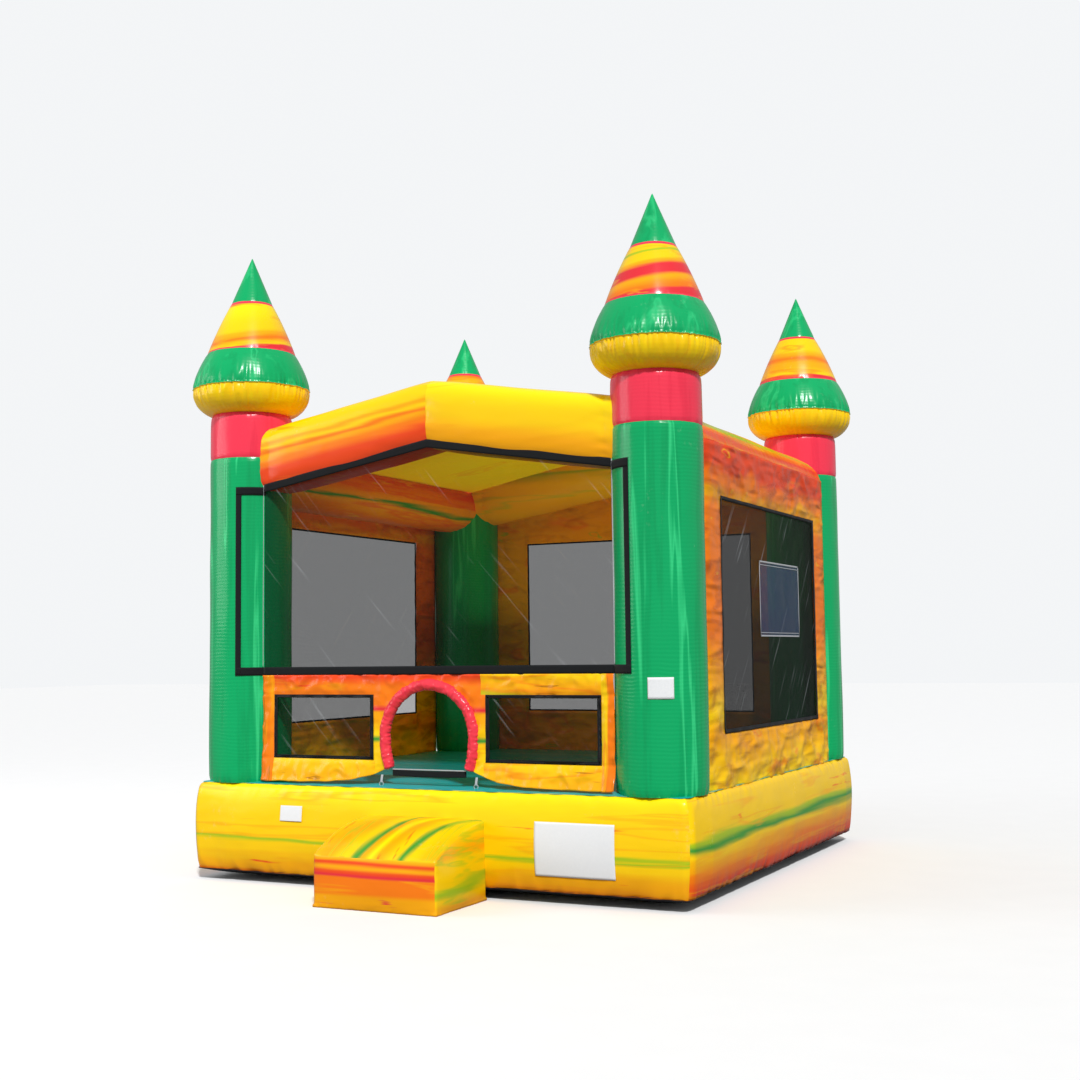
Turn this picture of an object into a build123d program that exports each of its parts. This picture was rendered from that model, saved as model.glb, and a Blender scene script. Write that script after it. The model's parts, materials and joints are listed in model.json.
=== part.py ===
"""Inflatable castle bounce house, in millimetres.

Frame: +Z up, -Y towards the doorway, +X to the right of someone who walks in. The origin is on the
ground under the middle of the square base. Every vinyl sheet is drawn `vinyl` thick, sheet touches
sheet face to face, and the air chambers inside the base, columns, turrets, beams and step are hollow.
"""
import os
from math import atan, cos, degrees, hypot, radians, sin, sqrt

from build123d import *

os.makedirs("parts", exist_ok=True)

# ---------------------------------------------------------------- driving dimensions
vinyl = 6.0                 # wall drawn for every coated-fabric sheet
net = 3.0                   # wall drawn for window netting
strip = 3.0                 # webbing and hook-and-loop strip thickness
seam_gap = 2.0              # slack left where a flat sheet stops beside a round one

base_side = 4000.0          # square base, outside
base_top = 720.0            # height of the bounce floor
base_corner = 70.0          # vertical corner radius
base_shoulder = 20.0        # radius from the skirt over to the floor
seam_lift = 80.0            # the lower seam rides this far off the ground
bottom_slope_run = 450.0    # the belly reaches the ground this far inside the seam
baffle_count = 7
baffle_sheet = 4.0
baffle_end_gap = 500.0      # air passes round each baffle's end
air_port_radius = 150.0

column_radius = 310.0
column_height = 2440.0      # green part, above the floor
collar_height = 350.0

bowl_height = 200.0
turret_radius = 455.0
band_height = 282.0
band_top_radius = 340.0
marble_height = 403.0
marble_top_radius = 158.0
tip_height = 375.0

side_beam_radius = 240.0
side_beam_drop = 100.0      # beam centre below the top of the green column
gable_beam_radius = 250.0
gable_peak_rise = 215.0     # centre of the front and back beams at the ridge, above the green column
gable_slope = 0.165
roof_eave_drop = 140.0      # eave of the roof sheet above the side beam's centre
roof_slope = 0.195

front_inset = 180.0         # front wall forward of the column centres
panel_top = 1514.0          # the front net starts here
panel_outer_bottom = 735.0
panel_door_bottom = 845.0
front_window_margin = 71.0  # panel between the red trim and a window
front_window_width = 850.0
front_window_bottom = 920.0
front_window_height = 440.0

door_trim_radius = 37.0
door_radius = 362.0         # centre line of the red trim
door_top_margin = 35.0      # panel left above the red trim
door_leg_radius = 710.0
threshold_height = 45.0

banner_strip = 60.0
banner_column_strip = 43.0
banner_inner_angle = 54.0   # round the column from straight ahead
banner_outer_angle = 16.0
banner_drop = 230.0         # below the top of the green column

wall_bottom_gap = 15.0
wall_top_rise = 40.0        # above the side beam's centre
window_side_margin = 350.0
window_bottom = 1100.0
window_top_margin = 380.0
pocket_width = 990.0
pocket_height = 560.0
pocket_centre = 165.0
pocket_below_window_top = 680.0
pocket_sheet = 2.0

step_width = 960.0
step_centre = 50.0
step_depth = 680.0
step_front_height = 350.0
step_back_height = 540.0
step_corner = 45.0

tube_radius = 125.0         # outside
tube_length = 900.0
tube_x = -1250.0
tube_axis_height = 230.0
inlet_radius = 105.0
cinch_width = 40.0
cinch_from_mouth = 100.0

zip_length = 1100.0
zip_centre = 150.0
zip_height = 290.0
zip_tape_width = 40.0
zip_tape_sheet = 2.0
zip_coil_width = 8.0
zip_coil_sheet = 3.0
slider_length = 24.0
slider_width = 15.0
slider_sheet = 6.0
slider_gap = 0.5
slider_end = 40.0
pull_length = 46.0
pull_width = 12.0
pull_sheet = 2.0
pull_pin_radius = 2.5
running_gap = 0.05
flap_margin = 30.0
flap_drop = 130.0
flap_sheet = 3.0
flap_roll_radius = 6.0
flap_rise = 60.0            # hinge line above the zip
flap_stand_off = 19.0

ring_wire = 4.0
ring_half_width = 25.0
ring_leg = 14.0
ring_from_corner = 260.0
ring_height = 190.0
loop_width = 36.0
loop_wall = 4.0
loop_gap = 0.3
patch_side = 110.0

tie_x = 385.0
tie_width = 25.0
tie_ring_radius = 16.0
tie_ring_wire = 2.5
tie_patch = 60.0

# ---------------------------------------------------------------- sizes that follow
base_half = base_side / 2
column_offset = base_half - column_radius
column_top = base_top + column_height
collar_top = column_top + collar_height
bowl_top = collar_top + bowl_height
band_top = bowl_top + band_height
marble_top = band_top + marble_height
side_beam_height = column_top - side_beam_drop
gable_peak_height = column_top + gable_peak_rise
banner_side_top = column_top - banner_drop
gable_angle = atan(gable_slope)
gable_eave_height = gable_peak_height - gable_slope * column_offset
wall_inner = column_offset + side_beam_radius
wall_half = column_offset - sqrt(column_radius**2 - side_beam_radius**2) - seam_gap
wall_bottom = base_top + wall_bottom_gap
wall_top = side_beam_height + wall_top_rise
window_half = wall_half - window_side_margin
window_top = wall_top - window_top_margin
window_height = window_top - window_bottom
window_middle = window_bottom + window_height / 2
pocket_middle_height = window_top - pocket_below_window_top
door_arch_height = panel_top - door_top_margin - door_trim_radius - door_radius
front_window_inner = door_radius + door_trim_radius + front_window_margin
front_inner = column_offset + front_inset - vinyl
front_outer = column_offset + front_inset
front_half = column_offset - sqrt(column_radius**2 - (front_inner - column_offset) ** 2) - seam_gap
net_peak = gable_peak_height - sqrt(gable_beam_radius**2 - (front_inner - column_offset) ** 2) / cos(gable_angle) - 3 * seam_gap
floor_half = base_half - base_shoulder

corners = {
    "front_left": (-column_offset, -column_offset),
    "front_right": (column_offset, -column_offset),
    "back_left": (-column_offset, column_offset),
    "back_right": (column_offset, column_offset),
}


def save(piece, name):
    """Labels a finished piece and writes it as one STEP."""
    piece.part.label = name
    export_step(piece.part, f"parts/{name}.step")


# ---------------------------------------------------------------- base
with BuildPart() as bounce_floor:
    with BuildSketch(Plane.XY.offset(base_top)):
        RectangleRounded(2 * floor_half, 2 * floor_half, base_corner - base_shoulder)
    extrude(amount=-vinyl)

with BuildPart() as base_air:
    with BuildSketch(Plane.XY.offset(seam_lift)):
        RectangleRounded(base_side - 2 * vinyl, base_side - 2 * vinyl, base_corner - vinyl)
    extrude(amount=base_top - vinyl - seam_lift)
    fillet(base_air.faces().sort_by(Axis.Z)[-1].edges(), base_shoulder - vinyl)

with BuildPart() as base_skirt:
    with BuildSketch(Plane.XY.offset(seam_lift)):
        RectangleRounded(base_side, base_side, base_corner)
    extrude(amount=base_top - seam_lift)
    fillet(base_skirt.faces().sort_by(Axis.Z)[-1].edges(), base_shoulder)
    add(base_air.part, mode=Mode.SUBTRACT)
    add(bounce_floor.part, mode=Mode.SUBTRACT)
    with BuildSketch(Plane.XZ.offset(-base_half)):
        with Locations((tube_x, tube_axis_height)):
            Circle(inlet_radius)
    extrude(amount=2 * vinyl, mode=Mode.SUBTRACT)
save(base_skirt, "base_skirt")

with bounce_floor:
    with BuildSketch(Plane.XY.offset(base_top)):
        with Locations(*corners.values()):
            Circle(air_port_radius)
    extrude(amount=-vinyl, mode=Mode.SUBTRACT)
save(bounce_floor, "bounce_floor")

belly_half = base_half - bottom_slope_run
with BuildPart() as base_bottom:
    with BuildSketch(Plane.XY):
        Rectangle(2 * belly_half, 2 * belly_half)
    with BuildSketch(Plane.XY.offset(seam_lift)):
        Rectangle(base_side - base_corner, base_side - base_corner)
    loft(ruled=True)
    offset(amount=-vinyl, openings=[base_bottom.faces().sort_by(Axis.Z)[-1]])
save(base_bottom, "base_bottom")

baffle_pitch = base_side / (baffle_count + 1)
with BuildPart() as base_baffles:
    with BuildSketch(Plane.XY.offset(vinyl)):
        with GridLocations(0, baffle_pitch, 1, baffle_count):
            Rectangle(base_side - 2 * baffle_end_gap, baffle_sheet)
    extrude(amount=base_top - 2 * vinyl)
save(base_baffles, "base_baffles")


# ---------------------------------------------------------------- corner columns and turrets
def tube_wall(radius, bottom, height):
    """An upright fabric tube of that outer radius."""
    with BuildPart() as tube:
        with BuildSketch(Plane.XY.offset(bottom)):
            Circle(radius)
            Circle(radius - vinyl, mode=Mode.SUBTRACT)
        extrude(amount=height)
    return tube


def bulging_band(low, middle, high):
    """A fabric band turned about Z, with its outer edge an arc through three (radius, height) points."""
    inner = [(radius - vinyl, height) for radius, height in (high, middle, low)]
    with BuildPart() as band:
        with BuildSketch(Plane.XZ):
            with BuildLine():
                ThreePointArc(low, middle, high)
                Line(high, inner[0])
                ThreePointArc(*inner)
                Line(inner[2], low)
            make_face()
        revolve(axis=Axis.Z)
    return band


def between(low, high, bulge):
    """The middle of a band's edge, pushed out by `bulge` square to the line from low to high."""
    run, rise = high[0] - low[0], high[1] - low[1]
    length = hypot(run, rise)
    return ((low[0] + high[0]) / 2 + bulge * rise / length, (low[1] + high[1]) / 2 - bulge * run / length)


neck_edge = (column_radius, collar_top)
bowl_edge = (turret_radius, bowl_top)
band_edge = (band_top_radius, band_top)
marble_edge = (marble_top_radius, marble_top)
bowl_flare = turret_radius - column_radius
bowl_arc_radius = (bowl_flare**2 + bowl_height**2) / (2 * bowl_flare)
bowl_turn = radians(36)
bowl_middle = (
    turret_radius - bowl_arc_radius * (1 - cos(bowl_turn)),
    bowl_top - bowl_arc_radius * sin(bowl_turn),
)
band_bulge = 16.0
marble_bulge = 6.0

with BuildPart() as turret_tip:
    with BuildSketch(Plane.XZ):
        with BuildLine():
            Polyline(
                marble_edge,
                (0, marble_top + tip_height),
                (0, marble_top + tip_height - 2 * vinyl),
                (marble_top_radius - vinyl, marble_top),
                close=True,
            )
        make_face()
    revolve(axis=Axis.Z)

tower_pieces = {
    "column": tube_wall(column_radius, base_top, column_height),
    "collar": tube_wall(column_radius, column_top, collar_height),
    "turret_bowl": bulging_band(neck_edge, bowl_middle, bowl_edge),
    "turret_band": bulging_band(bowl_edge, between(bowl_edge, band_edge, band_bulge), band_edge),
    "turret_marble": bulging_band(band_edge, between(band_edge, marble_edge, marble_bulge), marble_edge),
    "turret_tip": turret_tip,
}
for piece_name, pattern in tower_pieces.items():
    for corner_name, centre in corners.items():
        with BuildPart() as tower_piece:
            with Locations(centre):
                add(pattern.part)
        save(tower_piece, f"{piece_name}_{corner_name}")


# ---------------------------------------------------------------- beams and roof
with BuildPart() as column_room:
    with BuildSketch(Plane.XY.offset(base_top)):
        with Locations(*corners.values()):
            Circle(column_radius)
    extrude(amount=column_height + collar_height)

beam_rooms = []
for side_name, side in (("left", -1), ("right", 1)):
    beam_end = Plane.XZ.offset(column_offset)
    with BuildPart() as side_room:
        with BuildSketch(beam_end):
            with Locations((side * column_offset, side_beam_height)):
                Circle(side_beam_radius)
        extrude(amount=-2 * column_offset)
    beam_rooms.append(side_room)
    with BuildPart() as side_beam:
        with BuildSketch(beam_end):
            with Locations((side * column_offset, side_beam_height)):
                Circle(side_beam_radius)
                Circle(side_beam_radius - vinyl, mode=Mode.SUBTRACT)
        extrude(amount=-2 * column_offset)
        add(column_room.part, mode=Mode.SUBTRACT)
    save(side_beam, f"side_beam_{side_name}")

for end_name, end in (("front", -1), ("back", 1)):
    ridge = Polyline(
        (-column_offset, end * column_offset, gable_eave_height),
        (0, end * column_offset, gable_peak_height),
        (column_offset, end * column_offset, gable_eave_height),
    )
    beam_end = Plane(origin=ridge @ 0, z_dir=ridge % 0)
    with BuildPart() as gable_room:
        with BuildSketch(beam_end):
            Circle(gable_beam_radius)
        sweep(path=ridge, transition=Transition.RIGHT)
    beam_rooms.append(gable_room)
    with BuildPart() as gable_beam:
        with BuildSketch(beam_end):
            Circle(gable_beam_radius)
            Circle(gable_beam_radius - vinyl, mode=Mode.SUBTRACT)
        sweep(path=ridge, transition=Transition.RIGHT)
        add(column_room.part, mode=Mode.SUBTRACT)
        split(bisect_by=Plane.YZ, keep=Keep.BOTH)
    save(gable_beam, f"{end_name}_beam")

roof_eave_height = side_beam_height + roof_eave_drop
roof_half = column_offset - sqrt(side_beam_radius**2 - roof_eave_drop**2)
roof_ridge_height = roof_eave_height + roof_slope * roof_half
with BuildPart() as roof_cover:
    with BuildSketch(Plane.XZ):
        with BuildLine():
            Polyline(
                (-roof_half, roof_eave_height),
                (0, roof_ridge_height),
                (roof_half, roof_eave_height),
                (roof_half, roof_eave_height + vinyl),
                (0, roof_ridge_height + vinyl),
                (-roof_half, roof_eave_height + vinyl),
                close=True,
            )
        make_face()
    extrude(amount=column_offset, both=True)
    add(column_room.part, mode=Mode.SUBTRACT)
    for room in beam_rooms:
        add(room.part, mode=Mode.SUBTRACT)
    for leftover in roof_cover.solids().sort_by(SortBy.VOLUME)[:-1]:
        add(leftover, mode=Mode.SUBTRACT)
save(roof_cover, "roof_cover")


# ---------------------------------------------------------------- front wall
front_face = Plane.XZ.offset(front_inner)


def gable_outline(inset):
    """The corners of the front net's five-sided outline, with its top and bottom taken in by `inset`."""
    eave = net_peak - gable_slope * front_half
    return (
        (-front_half, panel_top + inset),
        (front_half, panel_top + inset),
        (front_half, eave - inset),
        (0, net_peak - inset),
        (-front_half, eave - inset),
    )


front_windows = [
    (side * (front_window_inner + front_window_width / 2), front_window_bottom + front_window_height / 2)
    for side in (-1, 1)
]
with BuildPart() as front_net:
    with BuildSketch(front_face):
        Polygon(*gable_outline(0), align=None)
        with Locations(*front_windows):
            Rectangle(front_window_width, front_window_height)
    extrude(amount=net)
save(front_net, "front_net")

arch_leg_turn = 19.2
with BuildPart() as door_trim:
    with BuildLine(front_face.offset(vinyl / 2)):
        arch = ThreePointArc(
            (-door_radius, door_arch_height),
            (0, door_arch_height + door_radius),
            (door_radius, door_arch_height),
        )
        JernArc((door_radius, door_arch_height), (0, -1), door_leg_radius, -arch_leg_turn)
        JernArc((-door_radius, door_arch_height), (0, -1), door_leg_radius, arch_leg_turn)
    trim_path = door_trim.pending_edges_as_wire
    foot = trim_path @ 0
    with BuildSketch(Plane(origin=foot, z_dir=trim_path % 0)):
        Circle(door_trim_radius)
    sweep(path=trim_path)
save(door_trim, "door_trim")

with BuildPart() as front_panel:
    with BuildSketch(front_face):
        with BuildLine():
            Polyline(
                (-front_half, panel_top),
                (-front_half, panel_outer_bottom),
                (-front_half * 0.6, panel_outer_bottom + 8),
                (-door_radius, panel_door_bottom),
                (door_radius, panel_door_bottom),
                (front_half * 0.6, panel_outer_bottom + 8),
                (front_half, panel_outer_bottom),
                (front_half, panel_top),
                close=True,
            )
        make_face()
        with Locations(*front_windows):
            Rectangle(front_window_width, front_window_height, mode=Mode.SUBTRACT)
        with Locations((0, door_arch_height)):
            Circle(door_radius, mode=Mode.SUBTRACT)
        with Locations((0, (panel_door_bottom + door_arch_height) / 2)):
            Rectangle(
                2 * door_radius - 2 * door_trim_radius,
                door_arch_height - panel_door_bottom,
                mode=Mode.SUBTRACT,
            )
    extrude(amount=vinyl)
    add(door_trim.part, mode=Mode.SUBTRACT)
    for leftover in front_panel.solids().sort_by(SortBy.VOLUME)[:-1]:
        add(leftover, mode=Mode.SUBTRACT)
save(front_panel, "front_panel")

with BuildPart() as threshold_strap:
    with BuildSketch(front_face):
        with Locations((0, panel_door_bottom - threshold_height / 2)):
            Rectangle(2 * door_radius, threshold_height)
    extrude(amount=strip)
    add(door_trim.part, mode=Mode.SUBTRACT)
save(threshold_strap, "threshold_strap")

with BuildPart() as banner_frame:
    with BuildSketch(front_face.offset(net)):
        Polygon(*gable_outline(0), align=None)
    extrude(amount=strip)
    with BuildSketch(front_face.offset(net)):
        Polygon(*gable_outline(banner_strip), align=None)
    extrude(amount=strip, mode=Mode.SUBTRACT)
    frame_middle = (panel_top + banner_side_top) / 2
    frame_height = banner_side_top - panel_top
    strip_turn = degrees(banner_column_strip / column_radius)
    reach = 2 * column_radius
    for side in (-1, 1):
        centre = (side * column_offset, -column_offset)
        for first, last, bottom, height in (
            (banner_outer_angle, banner_inner_angle, panel_top, banner_strip),
            (banner_outer_angle, banner_inner_angle, banner_side_top - banner_strip, banner_strip),
            (banner_outer_angle, banner_outer_angle + strip_turn, panel_top, frame_height),
        ):
            with BuildSketch(Plane.XY.offset(bottom)):
                with Locations(centre):
                    Circle(column_radius + strip)
                    Circle(column_radius, mode=Mode.SUBTRACT)
                    Polygon(
                        (0, 0),
                        (-side * reach * sin(radians(first)), -reach * cos(radians(first))),
                        (-side * reach * sin(radians(last)), -reach * cos(radians(last))),
                        align=None,
                        mode=Mode.INTERSECT,
                    )
            extrude(amount=height)
save(banner_frame, "banner_frame")

with BuildPart() as floor_ties:
    tie_top = panel_door_bottom - threshold_height
    tie_y = -front_inner - vinyl - tie_width / 2
    with Locations((tie_x, tie_y, base_top), (-tie_x, tie_y, base_top)):
        Box(tie_patch, tie_patch / 2, strip, align=(Align.CENTER, Align.CENTER, Align.MIN))
        with Locations(Location((0, 0, strip + tie_ring_radius + tie_ring_wire))):
            Torus(tie_ring_radius, tie_ring_wire, rotation=(90, 0, 0))
save(floor_ties, "floor_ties")


# ---------------------------------------------------------------- side and back walls
def wall_plane(name):
    """The inner face of a wall, with X to the right and Y up as seen from outside."""
    if name == "back":
        return Plane(origin=(0, wall_inner, 0), x_dir=(-1, 0, 0), z_dir=(0, 1, 0))
    side = 1 if name == "right" else -1
    return Plane(origin=(side * wall_inner, 0, 0), x_dir=(0, side, 0), z_dir=(side, 0, 0))


def wall_sheets(name, eave, ridge):
    """The vinyl wall with its window cut out, and the net that fills the window."""
    with BuildPart() as wall:
        with BuildSketch(wall_plane(name)):
            Polygon(
                (-wall_half, wall_bottom),
                (wall_half, wall_bottom),
                (wall_half, eave),
                (0, ridge),
                (-wall_half, eave),
                align=None,
            )
            with Locations((0, window_middle)):
                Rectangle(2 * window_half, window_height, mode=Mode.SUBTRACT)
        extrude(amount=vinyl)
    with BuildPart() as window:
        with BuildSketch(wall_plane(name)):
            with Locations((0, window_middle)):
                Rectangle(2 * window_half, window_height)
        extrude(amount=net)
    return wall, window


back_ridge = gable_peak_height - sqrt(gable_beam_radius**2 - side_beam_radius**2) / cos(gable_angle) - 3 * seam_gap
for wall_name, wall_title, eave, ridge in (
    ("left", "side_wall_left", wall_top, wall_top + seam_gap),
    ("right", "side_wall_right", wall_top, wall_top + seam_gap),
    ("back", "back_wall", back_ridge - gable_slope * wall_half, back_ridge),
):
    wall_sheet, window_sheet = wall_sheets(wall_name, eave, ridge)
    save(wall_sheet, wall_title)
    save(window_sheet, wall_title.replace("wall", "net"))

with BuildPart() as window_pocket:
    with BuildSketch(wall_plane("right").offset(net)):
        with Locations((pocket_centre, pocket_middle_height)):
            Rectangle(pocket_width, pocket_height)
    extrude(amount=pocket_sheet)
save(window_pocket, "window_pocket")

# ---------------------------------------------------------------- entry step
with BuildPart() as entry_step:
    with BuildSketch(Plane.YZ.offset(step_centre - step_width / 2)):
        with BuildLine():
            back = -base_half
            front = -base_half - step_depth
            Line((back, 0), (front, 0))
            Line((front, 0), (front, step_front_height))
            ThreePointArc(
                (front, step_front_height),
                (
                    (front + back) / 2,
                    (step_front_height + step_back_height) / 2 + step_depth / 14,
                ),
                (back, step_back_height),
            )
            Line((back, step_back_height), (back, 0))
        make_face()
    extrude(amount=step_width)
    front_edges = entry_step.faces().sort_by(Axis.Y)[0].edges()
    fillet(front_edges.filter_by(Axis.Z), step_corner)
    offset(amount=-vinyl, openings=[entry_step.faces().sort_by(Axis.Y)[-1]])
save(entry_step, "entry_step")

# ---------------------------------------------------------------- inflation tube
back_face = Plane.XZ.offset(-base_half)
with BuildPart() as inflation_tube:
    with BuildSketch(back_face):
        with Locations((tube_x, tube_axis_height)):
            Circle(tube_radius)
            Circle(tube_radius - vinyl, mode=Mode.SUBTRACT)
    extrude(amount=-tube_length)
save(inflation_tube, "inflation_tube")

with BuildPart() as tube_cinch_strap:
    with BuildSketch(back_face.offset(-(tube_length - cinch_from_mouth))):
        with Locations((tube_x, tube_axis_height)):
            Circle(tube_radius + strip)
            Circle(tube_radius, mode=Mode.SUBTRACT)
    extrude(amount=cinch_width)
    buckle_height = tube_axis_height + tube_radius + strip
    buckle_y = base_half + tube_length - cinch_from_mouth - cinch_width / 2
    with Locations((tube_x, buckle_y, buckle_height)):
        Box(2 * cinch_width, cinch_width, 4 * strip, align=(Align.CENTER, Align.CENTER, Align.CENTER))
    add(inflation_tube.part, mode=Mode.SUBTRACT)
save(tube_cinch_strap, "tube_cinch_strap")

# ---------------------------------------------------------------- deflation zip
flap_hinge_height = zip_height + flap_rise
flap_hinge_y = base_half + flap_stand_off - flap_roll_radius
flap_width = zip_length + 2 * flap_margin
zip_end_x = zip_centre + zip_length / 2
with BuildPart() as zip_tape:
    with BuildSketch(back_face):
        with Locations((zip_centre, zip_height)):
            Rectangle(zip_length, zip_tape_width)
    extrude(amount=-zip_tape_sheet)
    with BuildSketch(back_face.offset(-zip_tape_sheet)):
        with Locations((zip_centre, zip_height)):
            Rectangle(zip_length, zip_coil_width)
    extrude(amount=-zip_coil_sheet)
    hem_depth = flap_stand_off - 2 * flap_roll_radius - loop_gap
    with BuildSketch(back_face):
        with Locations((zip_centre, flap_hinge_height)):
            Rectangle(flap_width, 2 * flap_roll_radius)
    extrude(amount=-hem_depth)
save(zip_tape, "zip_tape")

slider_x = zip_end_x - slider_end
slider_inner = base_half + zip_tape_sheet + zip_coil_sheet + slider_gap
with BuildPart() as zip_slider:
    with Locations((slider_x, slider_inner + slider_sheet / 2, zip_height)):
        Box(slider_length, slider_sheet, slider_width)
    fillet(zip_slider.edges().filter_by(Axis.Y), slider_width / 4)
    with BuildSketch(Plane.XZ.offset(-(slider_inner + slider_sheet))):
        with Locations((slider_x, zip_height)):
            Circle(pull_pin_radius)
    extrude(amount=-(pull_sheet + 2 * slider_gap))
save(zip_slider, "zip_slider")

with BuildPart() as zip_pull:
    with BuildSketch(Plane.XZ.offset(-(slider_inner + slider_sheet + slider_gap))):
        with Locations((slider_x, zip_height - pull_length / 2)):
            SlotOverall(pull_length + pull_width, pull_width, rotation=90)
        with Locations((slider_x, zip_height)):
            Circle(pull_pin_radius + running_gap, mode=Mode.SUBTRACT)
    extrude(amount=-pull_sheet)
save(zip_pull, "zip_pull")

with BuildPart() as zip_flap:
    with Locations((zip_centre, flap_hinge_y, flap_hinge_height)):
        Cylinder(flap_roll_radius, flap_width, rotation=(0, 90, 0))
    with Locations((zip_centre, base_half + flap_stand_off, flap_hinge_height)):
        Box(flap_width, flap_sheet, flap_drop, align=(Align.CENTER, Align.MAX, Align.MAX))
    split(bisect_by=Plane.XY.offset(flap_hinge_height - flap_roll_radius), keep=Keep.BOTH)
save(zip_flap, "zip_flap")

# ---------------------------------------------------------------- anchor rings
ring_spot = base_half - ring_from_corner
pivot_out = strip + ring_wire + loop_wall + loop_gap
anchors = {
    "back_left": Plane(origin=(-ring_spot, base_half, ring_height), x_dir=(-1, 0, 0), z_dir=(0, 1, 0)),
    "back_right": Plane(origin=(ring_spot, base_half, ring_height), x_dir=(-1, 0, 0), z_dir=(0, 1, 0)),
    "left_front": Plane(origin=(-base_half, -ring_spot, ring_height), x_dir=(0, -1, 0), z_dir=(-1, 0, 0)),
    "left_back": Plane(origin=(-base_half, ring_spot, ring_height), x_dir=(0, -1, 0), z_dir=(-1, 0, 0)),
}
with BuildPart() as ring_pattern:
    with BuildLine():
        ring_path = Polyline(
            (0, 0),
            (-ring_half_width, 0),
            (-ring_half_width, -ring_leg),
        )
        ThreePointArc(
            (-ring_half_width, -ring_leg),
            (0, -ring_leg - ring_half_width),
            (ring_half_width, -ring_leg),
        )
        Polyline((ring_half_width, -ring_leg), (ring_half_width, 0), (0, 0))
    with BuildSketch(Plane(origin=(0, 0, 0), z_dir=(-1, 0, 0))):
        Circle(ring_wire)
    sweep(transition=Transition.RIGHT)

loop_radius = ring_wire + loop_gap + loop_wall
with BuildPart() as loop_pattern:
    with BuildSketch(Plane.YZ.offset(-loop_width / 2)):
        with Locations((0, pivot_out)):
            Circle(loop_radius)
        with Locations((0, (pivot_out + strip) / 2)):
            Rectangle(2 * loop_radius, pivot_out - strip)
        with Locations((0, pivot_out)):
            Circle(ring_wire + loop_gap, mode=Mode.SUBTRACT)
    extrude(amount=loop_width)

for anchor_name, anchor_plane in anchors.items():
    with BuildPart() as anchor_ring:
        with Locations(anchor_plane.offset(pivot_out).location):
            add(ring_pattern.part)
    save(anchor_ring, f"anchor_ring_{anchor_name}")

anchor_spots = [plane.location for plane in anchors.values()]
with BuildPart() as anchor_loops:
    with Locations(*anchor_spots):
        add(loop_pattern.part)
save(anchor_loops, "anchor_loops")

with BuildPart() as anchor_patches:
    with Locations(*anchor_spots):
        Box(patch_side, patch_side, strip, align=(Align.CENTER, Align.CENTER, Align.MIN))
save(anchor_patches, "anchor_patches")

# ---------------------------------------------------------------- sewn labels
label_sheet = 1.0
column_label_turn = (5.5, 37.0)
with BuildPart() as sewn_labels:
    with BuildSketch(Plane.XZ.offset(base_half)):
        with Locations((1190, 365)):
            Rectangle(580, 355)
        with Locations((-1070, 520)):
            Rectangle(190, 110)
    extrude(amount=label_sheet)
    with BuildSketch(Plane.XY.offset(1350)):
        with Locations(corners["front_right"]):
            Circle(column_radius + label_sheet)
            Circle(column_radius, mode=Mode.SUBTRACT)
            Polygon(
                (0, 0),
                *((reach * sin(radians(turn)), -reach * cos(radians(turn))) for turn in column_label_turn),
                align=None,
                mode=Mode.INTERSECT,
            )
    extrude(amount=140)
save(sewn_labels, "sewn_labels")
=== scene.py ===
"""Looks of an inflatable castle bounce house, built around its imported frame.

Everything is in metres in the row frame: +Z up, -Y towards the doorway, +X to the right of someone
who walks in.
"""

from __future__ import annotations

import json
import logging
import math
from dataclasses import dataclass, field
from enum import Enum
from typing import Any, Callable, Sequence

import bmesh
import bpy
from mathutils import Matrix, Vector, noise

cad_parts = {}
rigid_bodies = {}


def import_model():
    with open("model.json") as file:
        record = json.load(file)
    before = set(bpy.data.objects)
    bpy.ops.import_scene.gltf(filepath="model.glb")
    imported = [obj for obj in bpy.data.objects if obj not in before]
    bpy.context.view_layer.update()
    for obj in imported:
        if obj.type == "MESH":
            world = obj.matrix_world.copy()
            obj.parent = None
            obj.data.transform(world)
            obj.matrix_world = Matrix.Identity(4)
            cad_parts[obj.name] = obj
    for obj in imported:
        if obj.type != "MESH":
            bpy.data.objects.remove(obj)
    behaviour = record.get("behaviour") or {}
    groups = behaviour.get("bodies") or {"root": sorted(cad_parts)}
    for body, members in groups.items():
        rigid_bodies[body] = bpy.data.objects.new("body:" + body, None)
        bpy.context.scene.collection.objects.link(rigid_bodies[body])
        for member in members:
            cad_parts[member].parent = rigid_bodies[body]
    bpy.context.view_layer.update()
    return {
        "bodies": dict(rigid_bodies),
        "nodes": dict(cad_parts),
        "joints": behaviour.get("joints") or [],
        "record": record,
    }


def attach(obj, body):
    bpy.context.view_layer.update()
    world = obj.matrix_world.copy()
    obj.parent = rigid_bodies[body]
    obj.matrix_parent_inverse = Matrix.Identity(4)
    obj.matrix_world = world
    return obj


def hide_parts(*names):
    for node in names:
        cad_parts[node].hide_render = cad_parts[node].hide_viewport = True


logging.basicConfig(level=logging.INFO, format="%(name)s: %(message)s")
LOG = logging.getLogger("bounce_house")

SHELL = "shell"
TURN = 2 * math.pi

Node = bpy.types.Node
Socket = bpy.types.NodeSocket
Material = bpy.types.Material
Mesh = bmesh.types.BMesh
Face = bmesh.types.BMFace
Place = Callable[[float, float], Vector]
Paint = Callable[[Face], int]


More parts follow.
